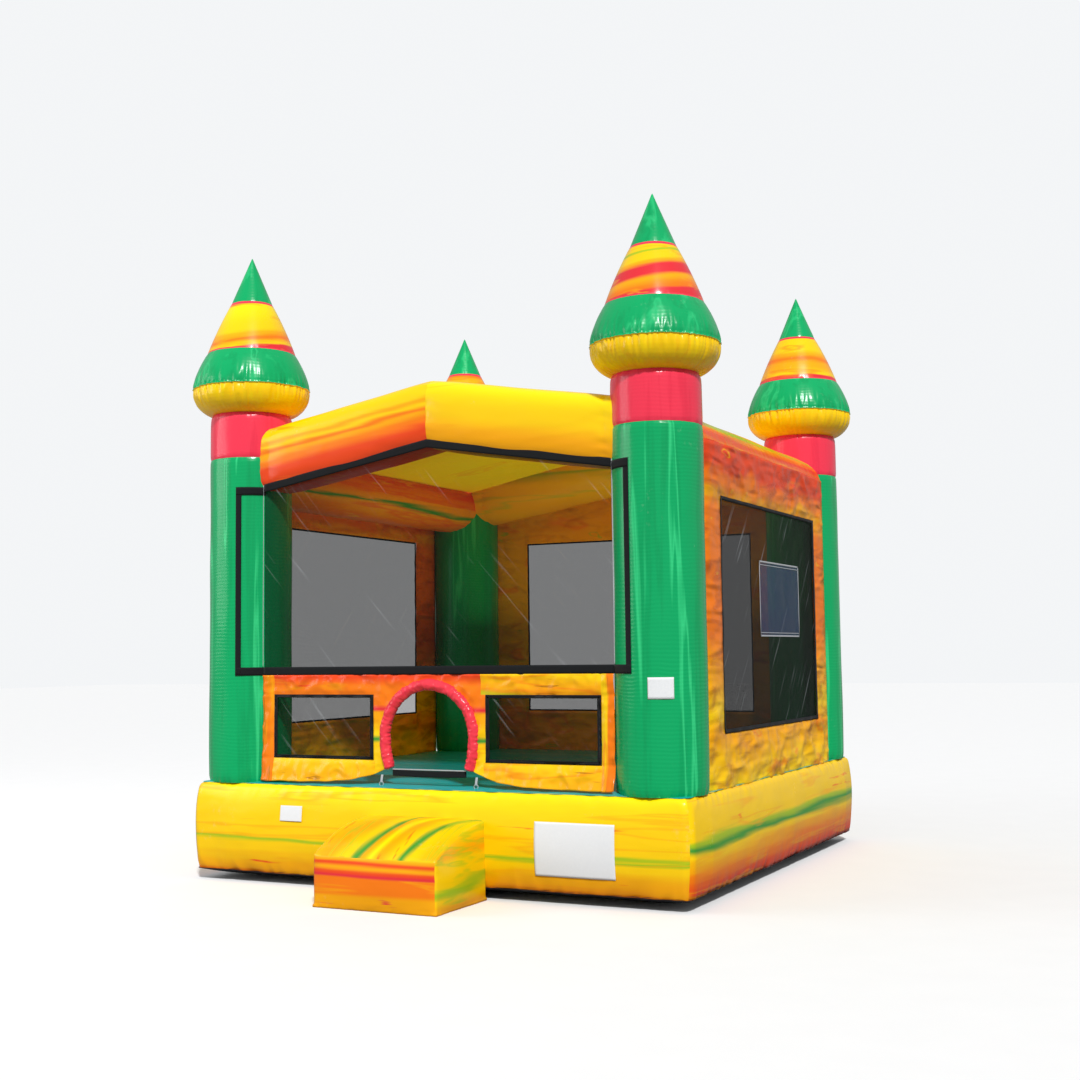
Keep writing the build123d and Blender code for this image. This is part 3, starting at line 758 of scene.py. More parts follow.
ALONG_X = (0.5, 2.0, 7.5)
ALONG_Y = (2.0, 0.5, 7.5)
MARBLE_LOW = 3.99
MARBLE_HIGH = 4.395
TOWER_CLOTH = {"stretch": (1.2, 1.2, 8.5), "crease_scale": 5.0, "crease_depth": 0.35, "crease_reach": 0.01}
FINISHES: tuple[Finish, ...] = (
    MarbledVinyl(
        "base_front",
        stops="0 ORANGE, 6 AMBER, 30 YELLOW, 36 LIME, 40 YELLOW, 70 YELLOW, 100 LEMON", low=0.08,
        high=0.72, stretch=ALONG_X, warp=0.3, streak=Vein(Dye.AMBER, 0.6, 0.05),
        thread=Vein(Dye.FLAME, 0.72, 0.05), seed=3.1,
    ),
    MarbledVinyl(
        "base_side",
        # the dark brown at the bottom is painted shade along the foot of the skirt
        stops="0 RUST, 8 FLAME, 20 ORANGE, 33 AMBER, 42 YELLOW, "
        "50 GREEN, 57 LIME, 63 YELLOW, 100 YELLOW",
        low=0.08, high=0.72, stretch=ALONG_Y, warp=0.22, streak=Vein(Dye.AMBER, 0.6, 0.06),
        thread=Vein(Dye.ORANGE, 0.7, 0.04), seed=8.2, specular=0.14,
    ),
    MarbledVinyl(
        "turret_front_right",
        stops="0 RED, 10 RED, 17 ORANGE, 32 AMBER, 40 RED, 54 RED, "
        "62 AMBER, 68 YELLOW, 78 YELLOW, 83 LIME, 87 YELLOW, 100 YELLOW",
        low=MARBLE_LOW - 0.118, high=MARBLE_HIGH - 0.118, across=(-0.12, -0.05, 1.0),
        streak=Vein(Dye.AMBER, 0.62, 0.03), seed=1.0, warp=0.14,
        thread=Vein(Dye.FLAME, 0.8, 0.04), **TOWER_CLOTH,
    ),
    MarbledVinyl(
        "turret_front_left",
        stops="0 RED, 9 RED, 14 YELLOW, 26 ORANGE, 34 AMBER, 44 YELLOW, 94 LEMON, 98 RED",
        low=MARBLE_LOW + 0.254, high=MARBLE_HIGH + 0.254, across=(-0.05, -0.1, 1.0),
        streak=Vein(Dye.AMBER, 0.62, 0.05), seed=4.0, warp=0.16,
        thread=Vein(Dye.FLAME, 0.8, 0.04), **TOWER_CLOTH,
    ),
    MarbledVinyl(
        "turret_back_right",
        stops="0 RED, 9 RED, 14 YELLOW, 32 AMBER, 42 ORANGE, "
        "55 AMBER, 70 YELLOW, 94 YELLOW, 98 RED",
        low=MARBLE_LOW, high=MARBLE_HIGH, streak=Vein(Dye.ORANGE, 0.6, 0.07), seed=9.0, warp=0.3,
        thread=Vein(Dye.FLAME, 0.8, 0.04), **TOWER_CLOTH,
    ),
    MarbledVinyl(
        "turret_back_left",
        stops="0 RED, 10 YELLOW, 40 ORANGE, 60 YELLOW, 85 AMBER, 93 ORANGE, 97 RED", low=MARBLE_LOW,
        high=MARBLE_HIGH, streak=Vein(Dye.ORANGE, 0.6, 0.05), seed=13.0, warp=0.2,
        thread=Vein(Dye.FLAME, 0.8, 0.04), **TOWER_CLOTH,
    ),
    MarbledVinyl(
        "beam_front_left",
        stops="0 FLAME, 30 FLAME, 42 ORANGE, 52 AMBER, 57 ORANGE, "
        "64 YELLOW, 70 AMBER, 76 YELLOW, 100 YELLOW",
        across=(-0.165, 0, 1.0), low=3.12, high=3.63, stretch=ALONG_X, warp=0.2,
        streak=Vein(Dye.ORANGE, 0.64, 0.04), thread=Vein(Dye.FLAME, 0.74, 0.04), seed=2.0,
    ),
    MarbledVinyl(
        "beam_front_right", stops="0 AMBER, 30 AMBER, 60 YELLOW, 100 LEMON",
        across=(0.165, 0, 1.0), low=3.10, high=3.62, stretch=ALONG_X, warp=0.15,
        streak=Vein(Dye.AMBER, 0.64, 0.05), thread=Vein(Dye.AMBER, 0.7, 0.03), seed=6.0,
    ),
    MarbledVinyl(
        "beam_back", stops="0 AMBER, 45 YELLOW, 60 LIME, 66 YELLOW, 100 YELLOW", low=2.9,
        high=3.6, stretch=ALONG_X, warp=0.5, streak=Vein(Dye.LIME, 0.61, 0.04),
        thread=Vein(Dye.ORANGE, 0.72, 0.04), seed=15.0,
    ),
    MarbledVinyl(
        "beam_side",
        stops="0 ORANGE, 18 AMBER, 24 GREEN, 30 AMBER, 55 ORANGE, "
        "68 FLAME, 76 ORANGE, 86 LIME, 92 AMBER, 100 ORANGE",
        low=2.85, high=3.32, stretch=ALONG_Y, warp=0.35, streak=Vein(Dye.FLAME, 0.6, 0.05),
        thread=Vein(Dye.AMBER, 0.66, 0.05), seed=7.0, crease_depth=0.7, crease_scale=5.0,
        rib_depth=0.1, rib_along=(0, 1, 0), specular=0.16,
    ),
    MarbledVinyl(
        "roof", stops="0 AMBER, 100 YELLOW", across=(0, 1, 0), low=-1.6, high=1.8,
        stretch=(0.7, 2.5, 1.0), warp=0.4, streak=Vein(Dye.ORANGE, 0.68, 0.03),
        thread=Vein(Dye.ORANGE, 0.7, 0.04), seed=5.0, gloss=0.4, specular=0.16, through=0.5,
    ),
    MarbledVinyl(
        "wall_side",
        stops="0 YELLOW, 13 AMBER, 20 YELLOW, 30 AMBER, 45 ORANGE, "
        "78 ORANGE, 85 AMBER, 89 ORANGE, 94 FLAME, 100 FLAME",
        low=0.74, high=3.1, stretch=(1.5, 1.5, 3.2), warp=0.16,
        streak=Vein(Dye.ORANGE, 0.64, 0.05), thread=Vein(Dye.AMBER, 0.7, 0.03), seed=10.0,
        crease_scale=6.0, crease_depth=1.0, crease_reach=0.05, crease_stretch=(0.45, 0.45, 1.5),
        # the dark brown crumples are painted crease shade
        crease_shade_depth=0.5, gloss=0.3, specular=0.1,
    ),
    MarbledVinyl(
        "wall_back", stops="0 AMBER, 30 YELLOW, 100 AMBER", low=0.74, high=3.3,
        stretch=(1.3, 1.3, 3.0), warp=0.3, streak=Vein(Dye.ORANGE, 0.62, 0.05),
        thread=Vein(Dye.LIME, 0.68, 0.03), seed=12.0, crease_scale=5.0, crease_depth=0.9,
        # the ochre crumples are painted crease shade
        crease_reach=0.04, crease_stretch=(0.6, 0.6, 1.4), fold=Dye.OCHRE, crease_shade_depth=0.5,
    ),
    MarbledVinyl(
        "panel_front",
        stops="0 AMBER, 10 YELLOW, 38 YELLOW, 42 GREEN, 46 YELLOW, 60 AMBER, "
        "66 AMBER, 70 RED, 75 ORANGE, 90 ORANGE, 100 FLAME",
        low=0.73, high=1.5, stretch=(0.7, 2.0, 6.0), warp=0.1, streak=Vein(Dye.AMBER, 0.62, 0.06),
        thread=Vein(Dye.FLAME, 0.72, 0.03), seed=17.0, crease_scale=6.0, crease_depth=0.8,
        crease_reach=0.03,
    ),
    MarbledVinyl(
        "panel_edge", stops="0 ORANGE, 25 AMBER, 40 YELLOW, 60 AMBER, 75 YELLOW, 100 ORANGE",
        across=(1.0, 0, 0.05), low=-1.5, high=1.5, stretch=(9.0, 2.0, 0.7), warp=1.6,
        streak=Vein(Dye.ORANGE, 0.58, 0.05), thread=Vein(Dye.OCHRE, 0.66, 0.05), seed=31.0,
        crease_scale=6.0, crease_depth=0.9, crease_reach=0.03,
    ),
    MarbledVinyl(
        "panel_hem", stops="0 AMBER, 35 YELLOW, 60 AMBER, 80 LIME, 88 AMBER, 100 YELLOW",
        low=0.73, high=1.5, stretch=(0.7, 2.0, 6.0), warp=0.3, streak=Vein(Dye.ORANGE, 0.6, 0.06),
        thread=Vein(Dye.OCHRE, 0.68, 0.04), seed=35.0, crease_scale=7.0, crease_depth=1.0,
        crease_reach=0.04,
    ),
    MarbledVinyl(
        "step_front",
        stops="0 AMBER, 22 AMBER, 32 ORANGE, 58 ORANGE, 63 RED, "
        "69 FLAME, 76 AMBER, 84 FLAME, 90 AMBER, 100 YELLOW",
        low=0.0, high=0.36, stretch=ALONG_X, warp=0.12, streak=Vein(Dye.AMBER, 0.66, 0.03),
        thread=Vein(Dye.RED, 0.72, 0.04), seed=21.0,
    ),
    MarbledVinyl(
        "step_side",
        stops="0 AMBER, 20 YELLOW, 30 LIME, 38 YELLOW, 60 YELLOW, 72 AMBER, 100 YELLOW", low=0.0,
        high=0.52, stretch=(2.0, 0.8, 6.0), warp=0.4, streak=Vein(Dye.LIME, 0.6, 0.05),
        thread=Vein(Dye.ORANGE, 0.7, 0.04), seed=23.0,
    ),
    MarbledVinyl(
        "step_top",
        stops="0 YELLOW, 24 AMBER, 36 YELLOW, 43 GREEN, 47 AMBER, 53 LEMON, "
        "58 AMBER, 68 YELLOW, 74 GREEN, 79 YELLOW, 100 AMBER",
        across=(1.0, -0.35, 0), low=0.35, high=1.5, stretch=(6.0, 0.6, 1.0), warp=0.12,
        streak=Vein(Dye.LIME, 0.6, 0.05), thread=Vein(Dye.ORANGE, 0.68, 0.03), seed=25.0,
    ),
    # painted highlight: the columns' pale upright streaks
    PlainVinyl("column_green", stretch=(5.5, 5.5, 0.26), streak_width=0.04, strength=0.7),
    PlainVinyl("band_green", stretch=(5, 5, 2), rib_depth=0.02, crease_scale=6.0),
    PlainVinyl("tip_green", stretch=(6, 6, 1), rib_depth=0.02, crease_scale=5.0),
    PlainVinyl(
        "collar_red", dye=Dye.COLLAR, pale=Dye.COLLAR, deep=Dye.COLLAR_DEEP, rib_depth=0.03,
    ),
    PlainVinyl(
        "bowl_yellow", dye=Dye.YELLOW, pale=Dye.LEMON, deep=Dye.AMBER, stretch=(7, 7, 1),
        rib_depth=0.02, crease_scale=6.0,
    ),
    PlainVinyl(
        "floor_teal", dye=Dye.TEAL, pale=Dye.TEAL_PALE, deep=Dye.TEAL, stretch=(1, 4, 1),
        rib_depth=0.0, gloss=0.34,
    ),
    PlainVinyl(
        "belly_grey", dye=Dye.BELLY, pale=Dye.GREY, deep=Dye.COAL, stretch=(2, 2, 2),
        rib_depth=0.0, gloss=0.5,
    ),
    PlainVinyl(
        "baffle_white", dye=Dye.PALE, pale=Dye.WHITE, deep=Dye.GREY, rib_depth=0.0, gloss=0.5,
    ),
    PlainVinyl(
        "trim_red", dye=Dye.TRIM, pale=Dye.COLLAR, deep=Dye.TRIM_DEEP, stretch=(4, 4, 4),
        rib_depth=0.0, crease_scale=9.0, crease_depth=0.8, crease_reach=0.012,
    ),
    PlainVinyl(
        "tube_amber", dye=Dye.AMBER, pale=Dye.YELLOW, deep=Dye.ORANGE, stretch=(3, 1, 3),
        rib_along=(0, 1, 0), rib_count=110.0, rib_depth=0.2, gloss=0.42,
    ),
    NetCloth("net_front"),
    NetCloth("net_left", warp_thread=(0, 1, 0), slant=(0.85, 0, 0), solid=0.4),
    NetCloth("net_right", warp_thread=(0, 1, 0), slant=(0.85, 0, 0), solid=0.68),
    WovenTape("hook_strip"),
    WovenTape("binding_black", dye=Dye.COAL, second=Dye.BLACK, scale=1200.0),
    WovenTape("webbing_grey", dye=Dye.GREY, second=Dye.PALE, scale=1100.0),
    WovenTape("label_cloth", dye=Dye.WHITE, second=Dye.BONE, scale=2400.0, roughness=0.6),
    ClearFilm("pocket_film"),
    PlatedSteel("ring_steel"),
    MouldedNylon("zip_nylon", teeth=0.6),
    MouldedNylon("slider_nylon"),
)


class Wardrobe:
    """Every finish of the bounce house, each built once."""

    def __init__(self) -> None:
        """Builds the materials."""
        effects = EffectLibrary()
        self.materials = {finish.name: finish.build(effects) for finish in FINISHES}
        LOG.info("%d finishes built", len(self.materials))

    def __getitem__(self, name: str) -> Material:
        """The material of that name."""
        return self.materials[name]


# ------------------------------------------------------------------ mesh tools
def wave(a: float, b: float, size: float, seed: float) -> float:
    """Smooth unevenness from -1 to 1 over lumps of that size."""
    return noise.noise(Vector((a / size, b / size, seed)))


def dome(u: float, v: float) -> float:
    """A swell that is 1 in the middle of a sheet and 0 along its edges."""
    return math.sin(math.pi * u) * math.sin(math.pi * v)


def crease(a: float, b: float, size: float, seed: float) -> float:
    """Sharp-crested creasing of stiff cloth, from about -1 to 1, over folds of that size.

    Args:
        a: the first coordinate.
        b: the second coordinate.
        size: the size of a fold in metres.
        seed: picks the irregularity.

    Returns:
        The height.
    """
    broad = 1 - 3 * abs(wave(a, b, size, seed))
    fine = 1 - 3 * abs(wave(a, b, size / 2.3, seed + 4.7))
    return 0.65 * broad + 0.35 * fine


def gather(angle: float, distance: float, count: float, reach: float, seed: float) -> float:
    """How far the gathers beside a seam pull in, from 0 to about 1.

    Args:
        angle: the place round the seam, in radians.
        distance: how far from the seam, in metres.
        count: about how many gathers go round.
        reach: how far from the seam they fade.
        seed: picks the irregularity.

    Returns:
        The pull, deepest at the seam.
    """
    fade = math.exp(-distance / reach)
    if fade < 0.02:
        return 0.0
    ring = count / TURN
    spot = Vector((ring * math.cos(angle), ring * math.sin(angle), seed + distance / (4 * reach)))
    fold = abs(noise.noise(spot))
    return fade * (0.35 + 1.5 * fold)


def surface(columns: int, rows: int, place: Place) -> Mesh:
    """A grid whose points are moved to a surface.

    Args:
        columns: faces along the first direction.
        rows: faces along the second.
        place: maps the two directions, 0 to 1 each, to a point.

    Returns:
        The mesh, with doubled points merged and its faces pointing one way.
    """
    mesh = bmesh.new()
    bmesh.ops.create_grid(mesh, x_segments=columns, y_segments=rows, size=0.5)
    for vert in mesh.verts:
        vert.co = place(vert.co.x + 0.5, vert.co.y + 0.5)
    bmesh.ops.remove_doubles(mesh, verts=mesh.verts, dist=1e-5)
    bmesh.ops.recalc_face_normals(mesh, faces=mesh.faces)
    return mesh


def spun(profile: Sequence[tuple[float, float]], steps: int) -> Mesh:
    """Spins a profile of (radius, height) points about Z.

    Args:
        profile: the points, from one end to the other.
        steps: how many steps go round.

    Returns:
        The mesh, with its normals pointing out.
    """
    mesh = bmesh.new()
    verts = [mesh.verts.new((radius, 0, height)) for radius, height in profile]
    edges = [mesh.edges.new(pair) for pair in zip(verts, verts[1:])]
    bmesh.ops.spin(
        mesh, geom=verts + edges, cent=(0, 0, 0), axis=(0, 0, 1), angle=TURN, steps=steps, use_merge=True
    )
    bmesh.ops.remove_doubles(mesh, verts=mesh.verts, dist=1e-5)
    bmesh.ops.recalc_face_normals(mesh, faces=mesh.faces)
    return mesh


def joined(meshes: Sequence[Mesh]) -> Mesh:
    """Joins several meshes into one and frees them.

    Args:
        meshes: the meshes to join.

    Returns:
        One mesh that holds them all.
    """
    whole = bmesh.new()
    for mesh in meshes:
        part = bpy.data.meshes.new("part")
        mesh.to_mesh(part)
        whole.from_mesh(part)
        bpy.data.meshes.remove(part)
        mesh.free()
    return whole


def face_outward(mesh: Mesh, outward: Vector) -> None:
    """Turns a sheet so that most of it faces a direction.

    Args:
        mesh: the sheet.
        outward: the way it should face.
    """
    total = sum((f.normal * f.calc_area() for f in mesh.faces), Vector())
    if total.dot(outward) < 0:
        bmesh.ops.reverse_faces(mesh, faces=mesh.faces)


@dataclass
class Piece:
    """One visible piece: its mesh, what it stands for, and how it is finished."""

    name: str
    mesh: Mesh
    finishes: Sequence[Material]
    slot: str
    nodes: Sequence[str]
    body: str = SHELL
    thickness: float = 0.0
    bevel: float = 0.0
    levels: int = 0
    paint: Paint | None = None

    def make(self) -> bpy.types.Object:
        """Makes the object, rides it on its body and hides the CAD nodes it stands for.

        Returns:
            The finished object.
        """
        if self.paint:
            for face in self.mesh.faces:
                face.material_index = self.paint(face)
        for face in self.mesh.faces:
            face.smooth = True
        data = bpy.data.meshes.new(self.name)
        self.mesh.to_mesh(data)
        self.mesh.free()
        item = bpy.data.objects.new(self.name, data)
        bpy.context.scene.collection.objects.link(item)
        for finish in self.finishes:
            data.materials.append(finish)
        if self.thickness:
            wall = item.modifiers.new("thickness", "SOLIDIFY")
            wall.thickness = self.thickness
            wall.offset = 0.0
        if self.bevel:
            edge = item.modifiers.new("soft edge", "BEVEL")
            edge.width = self.bevel
            edge.segments = 2
        if self.levels:
            skin = item.modifiers.new("smooth", "SUBSURF")
            skin.levels = skin.render_levels = self.levels
        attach(item, self.body)
        if self.nodes:
            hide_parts(*self.nodes)
        LOG.info("%s: %d faces", self.name, len(data.polygons))
        return item


def sampled(points: Sequence[tuple[float, float]], rows: int) -> list[tuple[float, float]]:
    """Evenly spaced points along a broken line.

    Args:
        points: the line's corners.
        rows: how many equal steps to take.

    Returns:
        rows + 1 points.
    """
    lengths = [math.dist(a, b) for a, b in zip(points, points[1:])]
    total = sum(lengths)
    result = []
    for i in range(rows + 1):
        left = total * i / rows
        for (a, b), length in zip(zip(points, points[1:]), lengths):
            if left <= length + 1e-9:
                t = left / length
                result.append((a[0] + (b[0] - a[0]) * t, a[1] + (b[1] - a[1]) * t))
                break
            left -= length
    return result


def bulged(
    low: tuple[float, float], high: tuple[float, float], bulge: float, rows: int
) -> list[tuple[float, float]]:
    """Points from low to high with the middle pushed out square to the line.

    Args:
        low: first (radius, height).
        high: last (radius, height).
        bulge: how far the middle stands out.
        rows: how many steps.

    Returns:
        rows + 1 points.
    """
    run, rise = high[0] - low[0], high[1] - low[1]
    length = math.hypot(run, rise)
    points = []
    for i in range(rows + 1):
        t = i / rows
        out = bulge * (1 - (2 * t - 1) ** 2)
        points.append((low[0] + run * t + out * rise / length, low[1] + rise * t - out * run / length))
    return points


# ------------------------------------------------------------------ base
@dataclass
class Base:
    """The inflated base: marbled skirt, teal floor, dark belly and the baffles inside."""

    wardrobe: Wardrobe
    half: float = 1.982
    bulge: float = 0.044
    corner: float = 0.07
    seam_low: float = 0.08
    top: float = 0.72
    roll: float = 0.02
    belly_run: float = 0.45
    channel: float = 0.5
    crown: float = 0.02
    floor_low: float = 0.7165
    baffle_length: float = 3.0
    baffle_height: float = 0.7
    baffles: int = 7

    def rounded(self, x: float, y: float, half: float) -> tuple[float, float]:
        """Moves a point of a square on to a square with rounded corners.

        Args:
            x: the point's x.
            y: the point's y.
            half: half the square's side.

        Returns:
            The moved x and y.
        """
        inner = half - self.corner
        over_x, over_y = abs(x) - inner, abs(y) - inner
        if over_x <= 0 or over_y <= 0:
            return x, y
        reach = max(over_x, over_y) / math.hypot(over_x, over_y)
        return math.copysign(inner + over_x * reach, x), math.copysign(inner + over_y * reach, y)

    def rim(self, turn: float, half: float) -> tuple[float, float, float]:
        """A point of the base's outline.

        Args:
            turn: how far round, from 0 to 1.
            half: half the outline's side.

        Returns:
            x, y and the distance from the nearest corner.
        """
        side, along = divmod(turn * 4, 1)
        run = (2 * along - 1) * half
        x, y = ((run, -half), (half, run), (-run, half), (-half, -run))[int(side) % 4]
        x, y = self.rounded(x, y, half)
        return x, y, half - abs(run)

    def skirt_point(self, turn: float, rise: float) -> Vector:
        """A point of the skirt, gathered along its seams and bulging between them.

        The back and left sides carry the zip and the anchors, and bulge less.

        Args:
            turn: how far round, from 0 to 1, counted from the front left corner.
            rise: how far up, from 0 to 1.

        Returns:
            The point.
        """
        height = self.seam_low + (self.top - self.seam_low) * rise
        full = math.sin(math.pi * min(1.0, rise * 1.02)) ** 0.7 if 0 < rise < 0.98 else 0.0
        x, y, from_corner = self.rim(turn, self.half)
        ease = min(1.0, from_corner / 0.35)
        plain = turn % 1 < 0.5
        out = self.bulge * full * (0.35 + 0.65 * ease if plain else 0.35 - 0.1 * ease)
        angle = turn * TURN
        out -= 0.016 * gather(angle, rise * 0.64, 150, 0.07, 2.0)
        out -= 0.013 * gather(angle, (1 - rise) * 0.64, 130, 0.05, 5.0)
        out += (0.006 if plain else 0.002) * wave(turn * 16, height, 0.35, 9.0) * full
        if rise > 0.97:
            out -= self.roll * (rise - 0.97) / 0.03
        scale = (self.half + out) / self.half
        sag = 0.012 * wave(turn * 16, 0, 0.5, 3.0) * (1 - rise)
        return Vector((x * scale, y * scale, height + sag))

    def floor_point(self, u: float, v: float) -> Vector:
        """A point of the floor, which rises between the baffles.

        Args:
            u: how far along, from 0 to 1.
            v: how far across, from 0 to 1.

        Returns:
            The point.
        """
        half = self.half - self.roll
        x, y = self.rounded((2 * u - 1) * half, (2 * v - 1) * half, half)
        edge = min(1.0, (half - max(abs(x), abs(y))) / 0.12)
        swell = abs(math.sin(math.pi * y / self.channel)) ** 0.6
        height = self.floor_low + self.crown * swell * (0.25 + 0.75 * max(0.0, edge))
        return Vector((x, y, height + 0.0015 * wave(x, y, 0.12, 1.0)))

    def belly_point(self, u: float, v: float) -> Vector:
        """A point of the belly, from the lower seam down to the ground.

        Args:
            u: how far along, from 0 to 1.
            v: how far across, from 0 to 1.

        Returns:
            The point.
        """
        x, y = self.rounded((2 * u - 1) * self.half, (2 * v - 1) * self.half, self.half)
        inside = self.half - max(abs(x), abs(y))
        drop = 1 - min(1.0, inside / self.belly_run)
        height = self.seam_low * drop**1.8
        height += 0.01 * gather(math.atan2(y, x), inside, 150, 0.08, 2.0) * (drop > 0)
        return Vector((x, y, max(0.001, height)))

    def baffle_mesh(self, number: int) -> Mesh:
        """One upright baffle.

        Args:
            number: which, counted from the middle one.

        Returns:
            The mesh.
        """

        def place(u: float, v: float) -> Vector:
            """Places one point of the baffle."""
            y = number * self.channel + 0.012 * wave(u * 3, v, 0.4, number)
            return Vector((self.baffle_length * u - self.baffle_length / 2, y, 0.01 + self.baffle_height * v))

        return surface(40, 12, place)

    def build(self) -> None:
        """Makes the base's pieces."""
        front, side = self.wardrobe["base_front"], self.wardrobe["base_side"]
        skirt = Piece(
            "base_skirt",
            surface(1040, 40, self.skirt_point),
            [front, side],
            "vinyl_base",
            ["base_skirt"],
            paint=lambda face: int(abs(face.calc_center_median().x) > abs(face.calc_center_median().y)),
        ).make()
        floor = surface(150, 190, self.floor_point)
        face_outward(floor, Vector((0, 0, 1)))
        Piece(
                "bounce_floor", floor, [self.wardrobe["floor_teal"]], "vinyl_floor", ["bounce_floor"]
            ).make()
        belly = surface(140, 140, self.belly_point)
        face_outward(belly, Vector((0, 0, -1)))
        Piece(
                "base_belly", belly, [self.wardrobe["belly_grey"]], "vinyl_bottom", ["base_bottom"]
            ).make()
        sheets = [self.baffle_mesh(i - self.baffles // 2) for i in range(self.baffles)]
        baffles = Piece(
            "base_baffles", joined(sheets), [self.wardrobe["baffle_white"]], "vinyl_baffle",
            ["base_baffles"], thickness=0.001,
        ).make()


# ------------------------------------------------------------------ corner towers
@dataclass
class Tower:
    """One corner: green column, red collar and the turret on top."""

    wardrobe: Wardrobe
    corner: str
    x: float
    y: float
    seed: float
    radius: float = 0.31
    floor: float = 0.72
    column_top: float = 3.16
    collar_top: float = 3.51
    bowl_top: float = 3.71
    band_top: float = 3.992
    marble_top: float = 4.395
    tip_top: float = 4.77
    widest: float = 0.455
    band_radius: float = 0.34
    marble_radius: float = 0.158
    lip: float = 0.006
    edge_strip: float = 0.022
    steps: int = 160
    turret_steps: int = 300

    def finish(
        self, part: str, mesh: Mesh, material: str, slot: str, edged: Paint | None = None
    ) -> None:
        """Moves a spun mesh to this corner and makes its piece.

        Args:
            part: the piece's and the CAD node's name before the corner's.
            mesh: the mesh, turned about the origin.
            material: its finish.
            slot: its record slot.
            edged: which faces are of the red collar cloth instead.
        """
        bmesh.ops.translate(mesh, vec=(self.x, self.y, 0), verts=mesh.verts)
        cloths = (
            [self.wardrobe[material], self.wardrobe["collar_red"]]
            if edged
            else [self.wardrobe[material]]
        )
        name = f"{part}_{self.corner}"
        item = Piece(name, mesh, cloths, slot, [name], paint=edged).make()

    def edge_cloth(self, face: Face) -> int:
        """1 for the narrow red strips along the marbled cloth's two seams, 0 between them."""
        height = face.calc_center_median().z
        return int(height > self.marble_top - self.edge_strip or height < self.band_top + self.edge_strip / 2)

    def pull(self, mesh: Mesh, seams: Sequence[tuple[float, float, float, float]], soft: float) -> None:
        """Draws a spun mesh in beside its seams and makes it a little uneven.

        Args:
            mesh: the mesh.
            seams: height, gather count, reach and depth of each seam.
            soft: the depth of the unevenness.
        """
        for vert in mesh.verts:
            radius = math.hypot(vert.co.x, vert.co.y)
            if radius < 1e-4:
                continue
            angle = math.atan2(vert.co.y, vert.co.x)
            inward = 0.0
            for height, count, reach, depth in seams:
                inward += depth * gather(angle, abs(vert.co.z - height), count, reach, self.seed + height)
            spot = Vector((3 * math.cos(angle), 3 * math.sin(angle), self.seed + 2.2 * vert.co.z))
            inward += soft * noise.noise(spot)
            scale = (radius - inward) / radius
            vert.co.x *= scale
            vert.co.y *= scale

    def build(self) -> None:
        """Makes the tower's pieces."""
        r = self.radius
        column = spun(
            sampled(
                [
                    (r - 0.006, self.floor), (r, self.floor + 0.03), (r, self.column_top - 0.02),
                    (r - 0.004, self.column_top),
                ],
                110,
            ),
            self.steps,
        )
        self.pull(column, [(self.floor, 60, 0.05, 0.012), (self.column_top, 60, 0.02, 0.005)], 0.004)
        self.finish("column", column, "column_green", "vinyl_column")

        collar = spun(
            sampled(
                [
                    (r - 0.004, self.column_top), (r, self.column_top + 0.02), (r, self.collar_top - 0.03),
                    (r - 0.01, self.collar_top),
                ],
                24,
            ),
            self.steps,
        )
        self.pull(collar, [(self.column_top, 60, 0.02, 0.005), (self.collar_top, 70, 0.035, 0.012)], 0.003)
        self.finish("collar", collar, "collar_red", "vinyl_collar")

        flare, rise = self.widest - r, self.bowl_top - self.collar_top
        arc = (flare**2 + rise**2) / (2 * flare)
        sweep = math.asin(rise / arc)
        profile = [(r - 0.01, self.collar_top)]
        for i in range(1, 33):
            turn = sweep * (1 - i / 32)
            profile.append((self.widest - arc * (1 - math.cos(turn)), self.bowl_top - arc * math.sin(turn)))
        profile.append((self.widest + self.lip, self.bowl_top + 0.003))
        bowl = spun(profile, self.turret_steps)
        self.pull(bowl, [(self.collar_top, 70, 0.03, 0.012), (self.bowl_top - 0.006, 74, 0.075, 0.03)], 0.004)
        self.finish("turret_bowl", bowl, "bowl_yellow", "vinyl_bowl")

        profile = [
            (self.widest + self.lip, self.bowl_top + 0.003), (self.widest - 0.001, self.bowl_top + 0.01)
        ]
        profile += bulged(
            (self.widest, self.bowl_top + 0.014), (self.band_radius, self.band_top), 0.011, 34
        )[1:]
        band = spun(profile, self.turret_steps)
        self.pull(band, [(self.bowl_top + 0.006, 74, 0.06, 0.026), (self.band_top, 60, 0.02, 0.004)], 0.004)
        self.finish("turret_band", band, "band_green", "vinyl_band")

        marble = spun(
            bulged((self.band_radius, self.band_top), (self.marble_radius, self.marble_top), 0.008, 40), 160
        )
        self.pull(marble, [(self.band_top, 60, 0.02, 0.004), (self.marble_top, 36, 0.015, 0.003)], 0.003)
        self.finish("turret_marble", marble, f"turret_{self.corner}", "vinyl_turret", self.edge_cloth)

        tip = spun(
            sampled(
                [(self.marble_radius, self.marble_top), (0.004, self.tip_top - 0.006), (0.0, self.tip_top)],
                40,
            ),
            128,
        )
        self.pull(tip, [(self.marble_top, 36, 0.015, 0.003)], 0.0015)
        self.finish("turret_tip", tip, "tip_green", "vinyl_tip")


